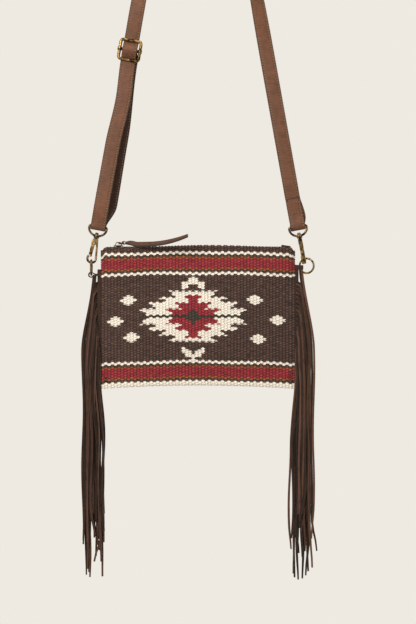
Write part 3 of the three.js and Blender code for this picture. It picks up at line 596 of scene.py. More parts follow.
def in_tiers(tiers, x, y):
    """True inside a stack of stepped tiers, each widest at its outer edge."""
    height = abs(y)
    for i, (outer, tip, notch) in enumerate(tiers):
        inner = tiers[i + 1][0] if i + 1 < len(tiers) else 0
        if inner <= height < outer:
            return abs(x) < notch + (tip - notch) * (height - inner) / (outer - inner)
    return False


def in_diamond(x, y, size, blunt=1.0):
    return (abs(x) / size[0]) ** blunt + (abs(y) / size[1]) ** blunt < 1


def in_chevron(x, y):
    apex, thick = CHEVRON_UP if y > 0 else CHEVRON_DOWN
    drop = apex - abs(y) - CHEVRON_SLOPE * abs(x)
    return abs(x) < CHEVRON_HALF_WIDTH and 0 <= drop < thick


def figure_yarn(x, y, stagger, pick, pitch):
    """The yarn at a point of the figure; small diamonds are centred on a warp and between picks."""
    if in_diamond(x, y, CORE_DIAMOND):
        return "core"
    if abs(y) < MIDDLE_LINE and abs(x) < CREAM_TIERS[-1][1]:
        return "core"
    if in_tiers(RED_TIERS, x, y):
        return "red"
    if in_tiers(CREAM_TIERS, x, y) or in_chevron(x, y):
        return "cream"
    for across, up in SMALL_DIAMONDS:
        from_warp = x - pitch * round(across / pitch)
        from_pick = y - stagger * pick - pick * (math.floor(up / pick) + 0.5)
        if in_diamond(from_warp, from_pick, SMALL_DIAMOND_SIZE, SMALL_DIAMOND_BLUNT):
            return "cream"
    return "ground"


def band_yarn(number):
    """The yarn of a pick inside a striped band, or None outside."""
    for start in BAND_STARTS:
        for yarn, count in BAND_PICKS:
            if start <= number < start + count:
                return yarn
            start += count
    return None


def yarn_at(across, number, stagger, pick, pitch, figured):
    """The yarn of a pick, numbered up from the fold, at this many millimetres from the middle."""
    if number < BAND_STARTS[0]:
        return "cream"
    yarn = band_yarn(number)
    if yarn is None and figured and number < BAND_STARTS[1]:
        height = (number + 0.5 - FIGURE_MIDDLE_PICK) * pick
        return figure_yarn(across - FIGURE_MIDDLE, height, stagger, pick, pitch)
    return yarn or "ground"


# Pouch form: shares of its height and half width, and lengths

BELLY_HEIGHT = 0.42
SEAM_POWER = 2.4
MOUTH_POWER = 24.0
MOUTH_START = 0.72
SEAM_PINCH = 0.75
CORNER_ACROSS = 0.945
CORNER_HEIGHT = 0.75
WAVE_HEIGHT = 0.8
WAVE_SPAN = 29 * MM
WAVE_PHASE = 0.9
HEM_TURN_IN = 7 * MM
NORMAL_STEP = 0.2 * MM


def past(share, start):
    """How far a share has come from its start to 1, eased."""
    return ease((share - start) / (1 - start))


class PouchSurface:
    """The outside of one panel, from inside the mouth, over the hem, down and under the bottom fold."""

    def __init__(self, settings, facing):
        self.settings = settings
        self.facing = facing
        self.rim = settings.cloth_thick / 2
        self.bottom = POUCH_LOW.z + settings.bottom_droop
        self.height = POUCH_TOP - self.bottom
        self.flat = self.height - self.rim - settings.fold_half_depth
        self.first = -math.pi * self.rim - HEM_TURN_IN
        self.last = self.flat + settings.fold_half_depth * math.pi / 2

    def half_depth(self, aside, upward):
        """Half the pouch's depth at this share across and up: fullest at the belly, flat at the seams."""
        settings = self.settings
        belly = POUCH_HIGH.y
        rising = ease(upward / BELLY_HEIGHT) * (belly - settings.fold_half_depth) + settings.fold_half_depth
        falling = past(upward, BELLY_HEIGHT) * (belly - settings.mouth_half_depth)
        power = SEAM_POWER + (MOUTH_POWER - SEAM_POWER) * past(upward, MOUTH_START)
        swell = (1 - np.minimum(np.abs(aside), 1) ** power) ** SEAM_PINCH
        return settings.edge_half_depth + (rising - falling - settings.edge_half_depth) * swell

    def point(self, across, down):
        """Points of the surface at these distances across and down the cloth."""
        settings = self.settings
        aside = np.clip(across / HALF_WIDTH, -1, 1)
        below = np.clip(down, 0, self.flat)
        z = POUCH_TOP - self.rim - below
        upward = (z - self.bottom) / self.height
        depth = self.half_depth(aside, upward)
        fold = np.clip((down - self.flat) / settings.fold_half_depth, 0, math.pi / 2)
        over = np.clip(-down / self.rim, 0, math.pi)
        inside = np.clip(-down - math.pi * self.rim, 0, None)
        rim = np.minimum(self.rim, depth)
        y = np.where(down > self.flat, depth * np.cos(fold), depth - rim + rim * np.cos(over))
        z = z - settings.fold_half_depth * np.sin(fold) + self.rim * np.sin(over) - inside
        droop = settings.top_droop + (settings.bottom_droop - settings.top_droop) * (1 - upward)
        corner = settings.corner_drop * past(np.abs(aside), CORNER_ACROSS) * past(upward, CORNER_HEIGHT)
        wave = settings.rim_wave * np.sin(across / WAVE_SPAN + WAVE_PHASE)
        wave *= (1 - aside * aside) * past(upward, WAVE_HEIGHT)
        return np.stack([across, self.facing * y, z - droop * aside * aside - corner + wave], axis=-1)

    def normal(self, across, down):
        """Directions out of the surface there."""
        right = self.point(np.minimum(across + NORMAL_STEP, HALF_WIDTH), down)
        left = self.point(np.maximum(across - NORMAL_STEP, -HALF_WIDTH), down)
        lower = self.point(across, np.minimum(down + NORMAL_STEP, self.last))
        upper = self.point(across, down - NORMAL_STEP)
        return unit(np.cross(right - left, lower - upper)) * -self.facing


# Weave: a grain's shares of the warp pitch and the relief, and the cloth's slow wobble

GRAIN_TIP, GRAIN_SHOULDER = 0.72, 0.28
GRAIN_FALL = 0.65
GRAIN_X, GRAIN_Y = np.meshgrid((-1, -0.64, -0.22, 0.22, 0.64, 1), (-1, -0.5, 0, 0.5, 1))
GRAIN_DOME = np.sqrt(np.clip(1 - GRAIN_X ** 2, 0, 1)) * (1 - GRAIN_FALL * GRAIN_Y ** 2)
GRAIN_TALL, GRAIN_WIDE = GRAIN_DOME.shape
GRAIN_SINK = 0.35
GRAIN_RISE = (0.85, 1.1)
LEAST_GRAIN = 0.1
WELD = 0.01 * MM
WOBBLE = 0.5 * MM
WOBBLE_ACROSS = 17 * MM
WOBBLE_DOWN = 41 * MM
WOBBLE_EDGE = 12 * MM
YARN_SPREAD = {"ground": 0.45, "cream": 0.05, "red": 0.3, "orange": 0.25, "core": 0.3}
# Painted shade in the furrows and painted highlight on the crowns of the grains, as shares of each yarn's
# colour
YARN_FURROW_SHADE = {"ground": 0.1, "cream": 0.72, "red": 0.2, "orange": 0.35, "core": 0.25}
YARN_CROWN_HIGHLIGHT = {"ground": 1.72, "cream": 1.08, "red": 1.3, "orange": 1.15, "core": 1.6}


def lay_grains(settings, surface, figured, draw):
    """Flat places, rises and colours of the grains, with painted shade and highlight: two picks over each
    warp, laid like bricks in a wall.
    """
    columns = round(2 * HALF_WIDTH / settings.warp_pitch)
    pitch = 2 * HALF_WIDTH / columns
    pick = settings.pick_height
    tip, shoulder = GRAIN_TIP * pitch, GRAIN_SHOULDER * pitch
    reach = tip - (tip - shoulder) * np.abs(GRAIN_Y)
    rows = int(math.ceil((surface.last - surface.first) / (2 * pick))) + 1
    places, lifts, shaded_tones = [], [], []
    for column in range(columns):
        middle_x = -HALF_WIDTH + (column + 0.5) * pitch
        stagger = 0.5 - column % 2
        for row in range(rows):
            middle_y = surface.last - (2 * row - stagger) * pick
            x = np.clip(middle_x + GRAIN_X * reach, -HALF_WIDTH, HALF_WIDTH)
            y = np.clip(middle_y + GRAIN_Y * pick, surface.first, surface.last)
            if y.max() - y.min() < LEAST_GRAIN * pick:
                continue
            places.append(np.stack([x, y], axis=-1).reshape(-1, 2))
            lifts.append((GRAIN_DOME * settings.relief * draw.uniform(*GRAIN_RISE)).ravel())
            halves = [
                yarn_at(middle_x / MM, number, stagger, pick / MM, pitch / MM, figured)
                for number in (2 * row, 2 * row - 1)
            ]
            shaded_tones.append(grain_tones(settings, halves, draw))
    return np.concatenate(places), np.concatenate(lifts), np.array(shaded_tones)


def grain_tones(settings, halves, draw):
    """Colours at the corners of a grain's faces: the yarn of each pick, with painted shade in the furrows
    round it and a painted highlight on its crown.
    """
    shade = GRAIN_DOME / GRAIN_DOME.max()
    shaded_tones = np.zeros((GRAIN_TALL - 1, GRAIN_WIDE - 1, 4, 3))
    for row in range(GRAIN_TALL - 1):
        yarn = halves[0 if row < (GRAIN_TALL - 1) // 2 else 1]
        colour = np.array(getattr(settings, yarn)) * (1 + YARN_SPREAD[yarn] * draw.uniform(-1, 1))
        low, high = YARN_FURROW_SHADE[yarn], YARN_CROWN_HIGHLIGHT[yarn]
        for corner, (down, right) in enumerate(((0, 0), (1, 0), (1, 1), (0, 1))):
            part = shade[row + down, right:GRAIN_WIDE - 1 + right]
            shaded_tones[row, :, corner] = colour * (low + (high - low) * part)[:, None]
    return shaded_tones


def weave_panel(name, settings, material, facing, figured, seed):
    """One panel of weft-faced cloth: its grains, welded where they meet and laid on the pouch's surface."""
    surface = PouchSurface(settings, facing)
    places, lifts, shaded_tones = lay_grains(settings, surface, figured, np.random.default_rng(seed))
    grains = len(shaded_tones)
    starts = np.arange(grains) * GRAIN_DOME.size
    faces = np.array(grid_faces(GRAIN_WIDE, GRAIN_TALL))[None] + starts[:, None, None]
    furrow = np.tile(np.isclose(np.abs(GRAIN_X), 1).ravel(), grains)
    tips = np.tile(np.isclose(np.abs(GRAIN_Y), 1).ravel(), grains)
    keys = np.round(places / WELD).astype(np.int64)
    welded = np.unique(keys, axis=0, return_inverse=True)[1].ravel()
    count = np.bincount(welded).astype(float)
    across, down = (np.bincount(welded, places[:, axis]) / count for axis in (0, 1))
    rise = np.bincount(welded, lifts) / count
    rise[np.unique(welded[furrow])] = 0
    wobble = WOBBLE * np.sin(across / WOBBLE_ACROSS + 2 * np.sin(down / WOBBLE_DOWN))
    wobble *= ease((down - surface.first) / WOBBLE_EDGE) * ease((surface.last - down) / WOBBLE_EDGE)
    lift = (rise - GRAIN_SINK * settings.relief)[:, None]
    points = surface.point(across, down + wobble) + surface.normal(across, down + wobble) * lift
    faces = welded[faces.reshape(-1, 4)]
    shaded_tones = shaded_tones.reshape(-1, 4, 3)
    if facing > 0:
        faces, shaded_tones = faces[:, ::-1], shaded_tones[:, ::-1]
    panel = make_piece(name, points, faces, material, shaded_tones.reshape(-1, 3))
    mark_grain_edges(panel, welded, furrow | tips)
    return panel, surface


def mark_grain_edges(panel, welded, on_edge):
    """Marks the furrows between grains sharp, so that each grain shades as its own round."""
    border = np.zeros(len(panel.data.vertices), bool)
    border[np.unique(welded[on_edge])] = True
    pairs = np.zeros(len(panel.data.edges) * 2, np.int32)
    panel.data.edges.foreach_get("vertices", pairs)
    pairs = pairs.reshape(-1, 2)
    sharp = panel.data.attributes.new("sharp_edge", "BOOLEAN", "EDGE")
    sharp.data.foreach_set("value", border[pairs].all(axis=1))


# Strap route

PEG_RADIUS = 20 * MM
CROWN_LAND = 8 * MM
SEWN_END = 38 * MM
FLAP_END = 36 * MM
FLAP_RIM = 1.2 * MM
BACK_LAYER_SHIFT = 9 * MM
EYE_LOOP = 4.4 * MM
ADJUSTER_WRAP = 2.8 * MM
ADJUSTER_REACH = 12.5 * MM
GROOVE = ((0.6 * MM, 0.02 * MM), (0, -0.3 * MM), (-0.6 * MM, 0.06 * MM))
GROOVE_SHADE = 0.5
LAYER_PLAY = 0.15 * MM
SLIDE_PLAY_BEHIND, SLIDE_PLAY_FRONT = 0.6 * MM, 0.7 * MM
ADJUSTER_RUN_OUT = 30 * MM
SEWN_RUN_OUT = 14 * MM
TWIST_TOP = 60 * MM
CROWN_RUN_IN = 6 * MM
EYE_LOOP_TURN = (-15, -180)
EYE_LOOP_STEPS = 14


def on_strap(side, height, depth, shift=0.0):
    """A point that far up one side of the strap from its eye bar."""
    lean_x, lean_z = math.sin(STRAP_LEAN), math.cos(STRAP_LEAN)
    return (
        side * EYE_BAR.x - side * lean_x * height + lean_z * shift,
        depth,
        EYE_BAR.z + lean_z * height + side * lean_x * shift,
    )


class StrapRoute:
    """Collects the strap's stations in order, from its end on the adjuster bar to its sewn end."""

    def __init__(self):
        self.points = []
        self.across = []
        self.inner = []

    def add(self, point, across, inner=0.0):
        self.points.append(point)
        self.across.append(across)
        self.inner.append(inner)

    def flat_across(self, side):
        """The direction across a side that lies flat to the front."""
        return (-side * math.cos(STRAP_LEAN), 0, -math.sin(STRAP_LEAN))

    def arc(self, side, height, radius, start, end, steps, inner=0.0):
        """Stations round a bar at this height, from one angle to the other."""
        for turn in np.radians(np.linspace(start, end, steps + 1)):
            at = on_strap(side, height + radius * math.sin(turn), radius * math.cos(turn))
            self.add(at, self.flat_across(side), inner)

    def run(self, side, marks, steps, inner=0.0):
        """Eased stations through marks of (height up the side from its eye bar, depth, shift to the side)."""
        for start, end in zip(marks[:-1], marks[1:]):
            for share in np.linspace(0, 1, steps + 1)[1:]:
                soft = float(ease(share))
                height = start[0] + (end[0] - start[0]) * share
                depth = start[1] + (end[1] - start[1]) * soft
                shift = start[2] + (end[2] - start[2]) * soft
                self.add(on_strap(side, height, depth, shift), self.flat_across(side), inner)

    def twist(self, side, start, end, length, steps):
        """The free run of a side, which turns its face from the front to the crown."""
        low = ADJUSTER_HEIGHT - side * ADJUSTER_RUN_OUT
        for height in np.linspace(start, end, steps + 1)[1:]:
            turn = math.pi / 2 * float(ease((height - low) / (length - TWIST_TOP - low)))
            self.add(on_strap(side, height, 0), (-side * math.cos(turn), -math.sin(turn), 0))

    def crown(self, side, start, end, steps, radius):
        """Stations round one half of the crown, over the peg."""
        for turn in np.linspace(start, end, steps + 1):
            x = side * (CROWN_LAND + radius * math.cos(turn))
            self.add((x, 0, radius * math.sin(turn) - PEG_RADIUS), (0, -1, 0))


def strap_route(thick):
    """The left back layer, its loop and front layer, the adjuster, the crown, and the right sewn loop."""
    route = StrapRoute()
    radius = PEG_RADIUS + thick / 2
    rise = math.hypot(EYE_BAR.x - CROWN_LAND, PEG_RADIUS + EYE_BAR.z)
    length = math.sqrt(rise ** 2 - radius ** 2)
    behind = ADJUSTER_WRAP + thick + SLIDE_PLAY_BEHIND
    front = ADJUSTER_WRAP + thick + SLIDE_PLAY_FRONT
    low, high = ADJUSTER_HEIGHT - ADJUSTER_REACH, ADJUSTER_HEIGHT + ADJUSTER_REACH
    shift = BACK_LAYER_SHIFT

    route.arc(-1, ADJUSTER_HEIGHT, ADJUSTER_WRAP, 235, 0, 14, 1.0)
    route.run(-1, [
        (ADJUSTER_HEIGHT, ADJUSTER_WRAP, 0), (low, behind, 0.3 * shift),
        (ADJUSTER_HEIGHT / 2, 7.5 * MM, 0.9 * shift), (30 * MM, 8.5 * MM, shift),
        (0, EYE_LOOP, 0),
    ], 10, 1.0)
    route.arc(-1, 0, EYE_LOOP, *EYE_LOOP_TURN, EYE_LOOP_STEPS)
    route.run(-1, [
        (0, -EYE_LOOP, 0), (24 * MM, -8 * MM, 0), (0.45 * ADJUSTER_HEIGHT, -6.5 * MM, 0),
        (0.72 * ADJUSTER_HEIGHT, -4.5 * MM, 2.8 * MM), (low, ADJUSTER_WRAP, 0),
        (ADJUSTER_HEIGHT, -front, 0), (high, ADJUSTER_WRAP, 0), (high + ADJUSTER_RUN_OUT, 0, 0),
    ], 10)
    route.twist(-1, high + ADJUSTER_RUN_OUT, length - CROWN_RUN_IN, length, 24)
    route.crown(-1, STRAP_LEAN, math.pi / 2, 10, radius)
    route.crown(1, math.pi / 2, STRAP_LEAN, 10, radius)
    route.twist(1, length - CROWN_RUN_IN, SEWN_END + SEWN_RUN_OUT, length, 30)
    touching = thick / 2 + LAYER_PLAY
    route.run(1, [
        (SEWN_END + SEWN_RUN_OUT, 0, 0), (SEWN_END, touching, 0),
        (12 * MM, touching + 1.2 * MM, 3 * MM), (0, EYE_LOOP, 0),
    ], 8)
    route.arc(1, 0, EYE_LOOP, *EYE_LOOP_TURN, EYE_LOOP_STEPS)
    route.run(1, [
        (0, -EYE_LOOP, 0), (16 * MM, -touching, 0), (FLAP_END - FLAP_RIM, -touching - 0.2 * MM, 0),
        (FLAP_END, -touching - 0.4 * MM, 0),
    ], 8)
    return route


def along_strip(strip, pitch, margin):
    """Evenly spaced places on a strip: their station numbers as fractions."""
    run = strip.run()
    marks = np.arange(run[0] + margin, run[-1] - margin, pitch)
    return np.interp(marks, run, np.arange(len(run)))


def between(values, at):
    """Values of the stations at these fractions."""
    low = np.floor(at).astype(int)
    high = np.minimum(low + 1, len(values) - 1)
    share = (at - low)[:, None]
    return values[low] * (1 - share) + values[high] * share


# Operators, with the sizes that each works to in front of it

class BAG_OT_weave_pouch(bpy.types.Operator):
    """Weave the front and back panels of the pouch"""
    bl_idname = "fringed_bag.weave_pouch"
    bl_label = "Woven Pouch"

    def execute(self, context):
        settings = context.scene.bag_cloth
        yarn = spun_yarn()
        front, surface = weave_panel("woven_front", settings, yarn, facing=-1, figured=True, seed=7)
        back, surface = weave_panel("woven_back", settings, yarn, facing=1, figured=False, seed=11)
        set_in_place(front, "pouch", "woven_cloth", "woven_pouch")
        set_in_place(back, "pouch", "woven_cloth")
        return {"FINISHED"}


# Lining

LINING_SLACK = 3.0 * MM
LINING_GAP = 0.5 * MM
LINING_TOP = 4 * MM
LINING_GRID = (61, 34)
LINING_COLOUR = linear("#2c2320")
LINING_THREAD = 0.8 * MM
RIPPLE = 0.5 * MM
RIPPLE_ACROSS, RIPPLE_DOWN = 13 * MM, 29 * MM


class BAG_OT_lining(bpy.types.Operator):
    """Hang the lining inside the woven panels"""
    bl_idname = "fringed_bag.lining"
    bl_label = "Lining"

    def execute(self, context):
        settings = context.scene.bag_cloth
        slack = LINING_SLACK
        points, faces = [], []
        wide, tall = LINING_GRID
        for facing in (-1, 1):
            surface = PouchSurface(settings, facing)
            across = np.linspace(-HALF_WIDTH + slack, HALF_WIDTH - slack, wide)
            down = np.linspace(LINING_TOP, surface.flat - slack, tall)
            grid_x, grid_y = np.meshgrid(across, down)
            ripple = RIPPLE * np.sin(grid_x / RIPPLE_ACROSS) * np.sin(grid_y / RIPPLE_DOWN)
            grid = surface.point(grid_x, grid_y)
            grid[..., 1] -= facing * np.minimum(np.abs(grid[..., 1]) / 2, slack + LINING_GAP + ripple)
            quads = grid_faces(wide, tall, len(points))
            faces += quads if facing < 0 else flipped(quads)
            points += list(grid.reshape(-1, 3))
        half = wide * tall
        rim = [j * wide for j in range(tall)] + [half - wide + i for i in range(1, wide)]
        rim += [j * wide + wide - 1 for j in range(tall - 2, -1, -1)]
        faces += [(a, b, b + half, a + half) for a, b in zip(rim[:-1], rim[1:])]
        cotton = plain_weave("cotton_lining", LINING_COLOUR, LINING_THREAD)
        lining = make_piece("cotton_lining_bag", points, faces, cotton)
        set_in_place(lining, "pouch", "lining_cloth", "lining")
        return {"FINISHED"}


# Strap edges and stitching

SOFT_EDGE = math.radians(50)
STRAP_CORNER = 0.8 * MM
FACE_CROWN = (0.4, 0.12 * MM)
RIM_START, RIM_SPAN = 0.44, 0.05
SEAM_MARGIN = 3 * MM
STITCH_LIFT = 0.1 * MM
STITCH_SHARE = 0.74
STITCH_RADIUS = 0.5 * MM
END_ROWS = (SEWN_END - 7.5 * MM, 17 * MM)
END_ROW_PLACES = np.linspace(-0.38, 0.38, 5)
END_STITCH = (2.4 * MM, 0.34 * MM)


class BAG_OT_strap(bpy.types.Operator):
    """Cut and sew the leather strap"""
    bl_idname = "fringed_bag.strap"
    bl_label = "Strap"

    def execute(self, context):
        settings = context.scene.bag_strap
        route = strap_route(settings.thick)
        strip = Strip(route.points, route.across)
        seam = settings.width / 2 - settings.stitch_inset
        groove = [(2 * (seam + x) / settings.width, rise) for x, rise in GROOVE]
        section = rounded_section(settings.width, settings.thick, STRAP_CORNER, (*groove, FACE_CROWN))
        points, faces = sweep(strip, section)
        dyes_and_shade = self.dye_and_shade(settings, route, strip, section, seam)
        strap = make_piece("leather_strap", points, faces, strap_leather(), dyes_and_shade, SOFT_EDGE)
        set_in_place(strap, "strap", "strap_leather", "strap")
        thread = sewing_thread(settings.thread)
        self.sew_edges(settings, strip, seam, thread)
        self.sew_end(settings, thread)
        return {"FINISHED"}

    def dye_and_shade(self, settings, route, strip, section, seam):
        """A colour for each face: grain or flesh side, dark at the burnished edges, with painted shade in the
        sewn grooves and a painted shadow line at the flap's cut end.
        """
        grain = np.array(settings.grain_colour)
        flesh = np.array(settings.flesh_colour)
        edge_and_shade = np.array(settings.edge_colour)
        run = strip.run()
        dyes_and_shade = []
        for row in range(len(strip.points) - 1):
            for i, (x, y) in enumerate(section):
                after = section[(i + 1) % len(section)]
                middle = (abs(x) + abs(after[0])) / 2
                rim = float(ease((middle - RIM_START * settings.width) / (RIM_SPAN * settings.width)))
                inner = route.inner[row] if y + after[1] > 0 else 0
                face = grain * (1 - inner) + flesh * inner
                # Painted shade in the sewn groove
                if abs(middle - seam) < GROOVE[0][0]:
                    face = face * GROOVE_SHADE
                # The last run of the flap takes the edge colour, as a painted shadow line at its cut end
                if run[row] > run[-1] - FLAP_RIM - WELD:
                    face = edge_and_shade
                dyes_and_shade.append(face * (1 - rim) + edge_and_shade * rim)
        return dyes_and_shade + [edge_and_shade, edge_and_shade]

    def sew_edges(self, settings, strip, seam, thread):
        """A row of stitches along each edge, seen on both faces."""
        at = along_strip(strip, settings.stitch_pitch, SEAM_MARGIN)
        centres, along, out = [], [], []
        for edge_side in (-1, 1):
            for face_side in (-1, 1):
                row = strip.place(edge_side * seam, face_side * (settings.thick / 2 + STITCH_LIFT))
                centres.append(between(row, at))
                along.append(between(strip.tangent, at))
                out.append(between(strip.out, at) * face_side)
        sewn = stitches(
            "strap_stitching", np.concatenate(centres), np.concatenate(along), np.concatenate(out),
            (STITCH_SHARE * settings.stitch_pitch, STITCH_RADIUS), thread,
        )
        set_in_place(sewn, "strap", "strap_leather")

    def sew_end(self, settings, thread):
        """Two rows of stitches across the folded end, below its cut edge."""
        face = -(1.5 * settings.thick + LAYER_PLAY) - STITCH_LIFT
        places = END_ROW_PLACES * settings.width
        centres = [on_strap(1, height, face, shift) for height in END_ROWS for shift in places]
        along = (math.cos(STRAP_LEAN), 0, math.sin(STRAP_LEAN))
        sewn = stitches("end_stitching", centres, along, (0, -1, 0), END_STITCH, thread)
        set_in_place(sewn, "strap", "strap_leather")


# Brass castings: the rounding of edges, and wire plated a little thicker

CAST_GRAIN, FINE_GRAIN = 0.28 * MM, 0.16 * MM
POLISH, POLISH_PASSES = 0.5, 5
PLATING = {"left_eye": 0.1 * MM, "right_eye": 0.1 * MM, "adjuster_frame": 0.6 * MM}


class BAG_OT_brass(bpy.types.Operator):
    """Round off and finish the cast fittings"""
    bl_idname = "fringed_bag.brass"
    bl_label = "Brass Fittings"

    def execute(self, context):
        settings = context.scene.bag_brass
        brass = antique_brass(settings)
        steel = drawn_steel(settings)
        sides = ("left", "right")
        cast = [f"{side}_{part}" for side in sides for part in ("eye", "hook", "gate", "ring")]
        for name in cast + ["adjuster_frame", "adjuster_bar"]:
            self.finish_casting(name, brass, CAST_GRAIN)
        for name in ("zip_slider", "pull_ring"):
            self.finish_casting(name, brass, FINE_GRAIN)
        for name in [f"{side}_{part}" for side in sides for part in ("gate_pin", "gate_spring")]:
            self.dress(name, steel)
        return {"FINISHED"}

    def dress(self, name, material):
        """Gives a CAD node its material."""
        node = frame["nodes"][name]
        node.data.materials.clear()
        node.data.materials.append(material)
        return node

    def finish_casting(self, name, material, grain):
        """Tumbles a casting, so that its facets and edges are worn round, and plates some wires thicker."""
        node = self.dress(name, material)
        remesh = node.modifiers.new("tumbled", "REMESH")
        remesh.mode = "VOXEL"
        remesh.voxel_size = grain
        remesh.use_smooth_shade = True
        soft = node.modifiers.new("polished", "SMOOTH")
        soft.factor = POLISH
        soft.iterations = POLISH_PASSES
        if name in PLATING:
            plating = node.modifiers.new("plated", "DISPLACE")
            plating.strength = PLATING[name]
            plating.mid_level = 0


# Ring tabs

TAB_LOOP = 3.0 * MM
TAB_SHIFT = 0.3 * MM
TAB_OPENING = 58
TAB_NECK, TAB_NECK_SHARE = 5 * MM, 0.6
TAB_SEAM_GAP = 0.4 * MM
TAB_LEAF_PLAY = 0.05 * MM
TAB_CORNER = 0.5 * MM
TAB_TAPER = ((0, 0.2, 0.5, 0.8, 1), (1, 0.84, 0.9, 0.84, 1))


class BAG_OT_ring_tabs(bpy.types.Operator):
    """Loop the suede tabs that hold the rings to the side seams"""
    bl_idname = "fringed_bag.ring_tabs"
    bl_label = "Ring Tabs"

    def execute(self, context):
        settings = context.scene.bag_fringe
        suede = napped_suede("tab_suede", settings.suede)
        for side, name in ((-1, "left"), (1, "right")):
            tab = self.loop_tab(settings, side, name, suede)
            set_in_place(tab, "pouch", "fringe_suede", f"{name}_ring_tab")
        return {"FINISHED"}

    def loop_tab(self, settings, side, name, suede):
        """A strip from the seam round the ring's wire and back, with room for the wire to curve through."""
        joint = JOINTS[f"{name}_ring_turn"]
        wire, axis = Vector(joint["pos_m"]), Vector(joint["axis"])
        seam = Vector((side * (HALF_WIDTH + TAB_SEAM_GAP), 0, wire.z))
        away = (wire - seam).normalized()
        flank = axis.cross(away)
        centre = wire + away * TAB_SHIFT
        leaf = settings.tab_thick / 2 + TAB_LEAF_PLAY
        neck = centre - away * min(TAB_NECK, TAB_NECK_SHARE * (centre - seam).length)
        leaves = [seam.lerp(neck, share) for share in (0, 0.5, 1)]
        round_wire = [
            centre + TAB_LOOP * (flank * math.sin(turn) - away * math.cos(turn))
            for turn in np.radians(np.linspace(TAB_OPENING, 360 - TAB_OPENING, 22))
        ]
        path = [point + flank * leaf for point in leaves] + round_wire
        path += [point - flank * leaf for point in reversed(leaves)]
        taper = np.interp(np.linspace(0, 1, len(path)), *TAB_TAPER)
        strip = Strip(path, [axis] * len(path))
        section = rounded_section(settings.tab_width, settings.tab_thick, TAB_CORNER)
        points, faces = sweep(strip, section, taper)
        return make_piece(f"{name}_ring_loop", points, faces, suede, smooth_angle=SOFT_EDGE)


# Zip tape and teeth

TAPE_PROFILE = (
    (0, 0.35 * MM), (0.5, 0.45 * MM), (1, 0.3 * MM), (1, -0.3 * MM), (0.5, -0.35 * MM), (0, -0.35 * MM),
)
TAPE_COLUMNS = 60
TAPE_COLOUR = linear("#32261f")
TAPE_THREAD = 0.9 * MM
TAPE_SAG, TAPE_WAVE = 0.25 * MM, 19 * MM
TAPE_EDGE, TOOTH_EDGE = math.radians(40), math.radians(30)
TOOTH_PITCH = 2.2 * MM
TOOTH_LONG = 1.2 * MM
TOOTH_WIDE = 2.0 * MM
TOOTH_TALL = 2.3 * MM
TOOTH_PROFILE = ((-1, -1), (1, -1), (1, 0.4), (0.55, 1), (-0.55, 1), (-1, 0.4))
TOOTH_TAPER = 0.8
TEETH_GAP, TEETH_MARGIN = 0.05 * MM, 9 * MM

# Leather pull: lengths, shares of its length and width, and turns in degrees

PULL_LENGTH = 87 * MM
PULL_WIDTH = 6.6 * MM
PULL_THICK = 1.8 * MM
PULL_CORNER = 0.6 * MM
PULL_STATIONS = 56
PULL_START = 1.2 * MM
PULL_CURL = 9.8 * MM
PULL_CURL_START = 0.36
PULL_CURL_SPAN = 0.41
PULL_SAG = 2.2 * MM
PULL_SAG_START = 0.04
PULL_SAG_SPAN = 0.16
PULL_LIE = 34
PULL_ROLL = 42
PULL_ROLL_END = 0.12
PULL_UNROLL = 16
PULL_UNROLL_START = 0.55
PULL_TAPER = ((0, 0.02, 0.1, 0.6, 0.85, 1), (0.7, 0.95, 0.98, 0.94, 0.84, 0.72))
PULL_GRAIN_TONE, PULL_EDGE_AND_SHADE_TONE = 0.62, 0.9
PULL_RIM, PULL_SHADED_LOWER_BAND = 0.43, -0.28
PULL_LOOP = 1.85 * MM
PULL_LOOP_OPENING = 62
PULL_TAIL = 2.4 * MM
PULL_LOOP_WIDTH = 3.4 * MM
PULL_LOOP_THICK = 0.9 * MM
PULL_LOOP_CORNER = 0.3 * MM

# Zip end fold

END_FOLD_SHIFT = Vector((3 * MM, 0, 0))
END_FOLD_LEAF = 1.1 * MM
END_FOLD_CORNER = 0.35 * MM
END_FOLD_SINK = 1.5 * MM
END_FOLD_TURN = 67.5
END_SEAM_INSET = 2.2 * MM
END_SEAM_SHARE = 0.75
END_SEAM_COUNT = 4
END_SEAM_STITCH = (1.7 * MM, 0.3 * MM)


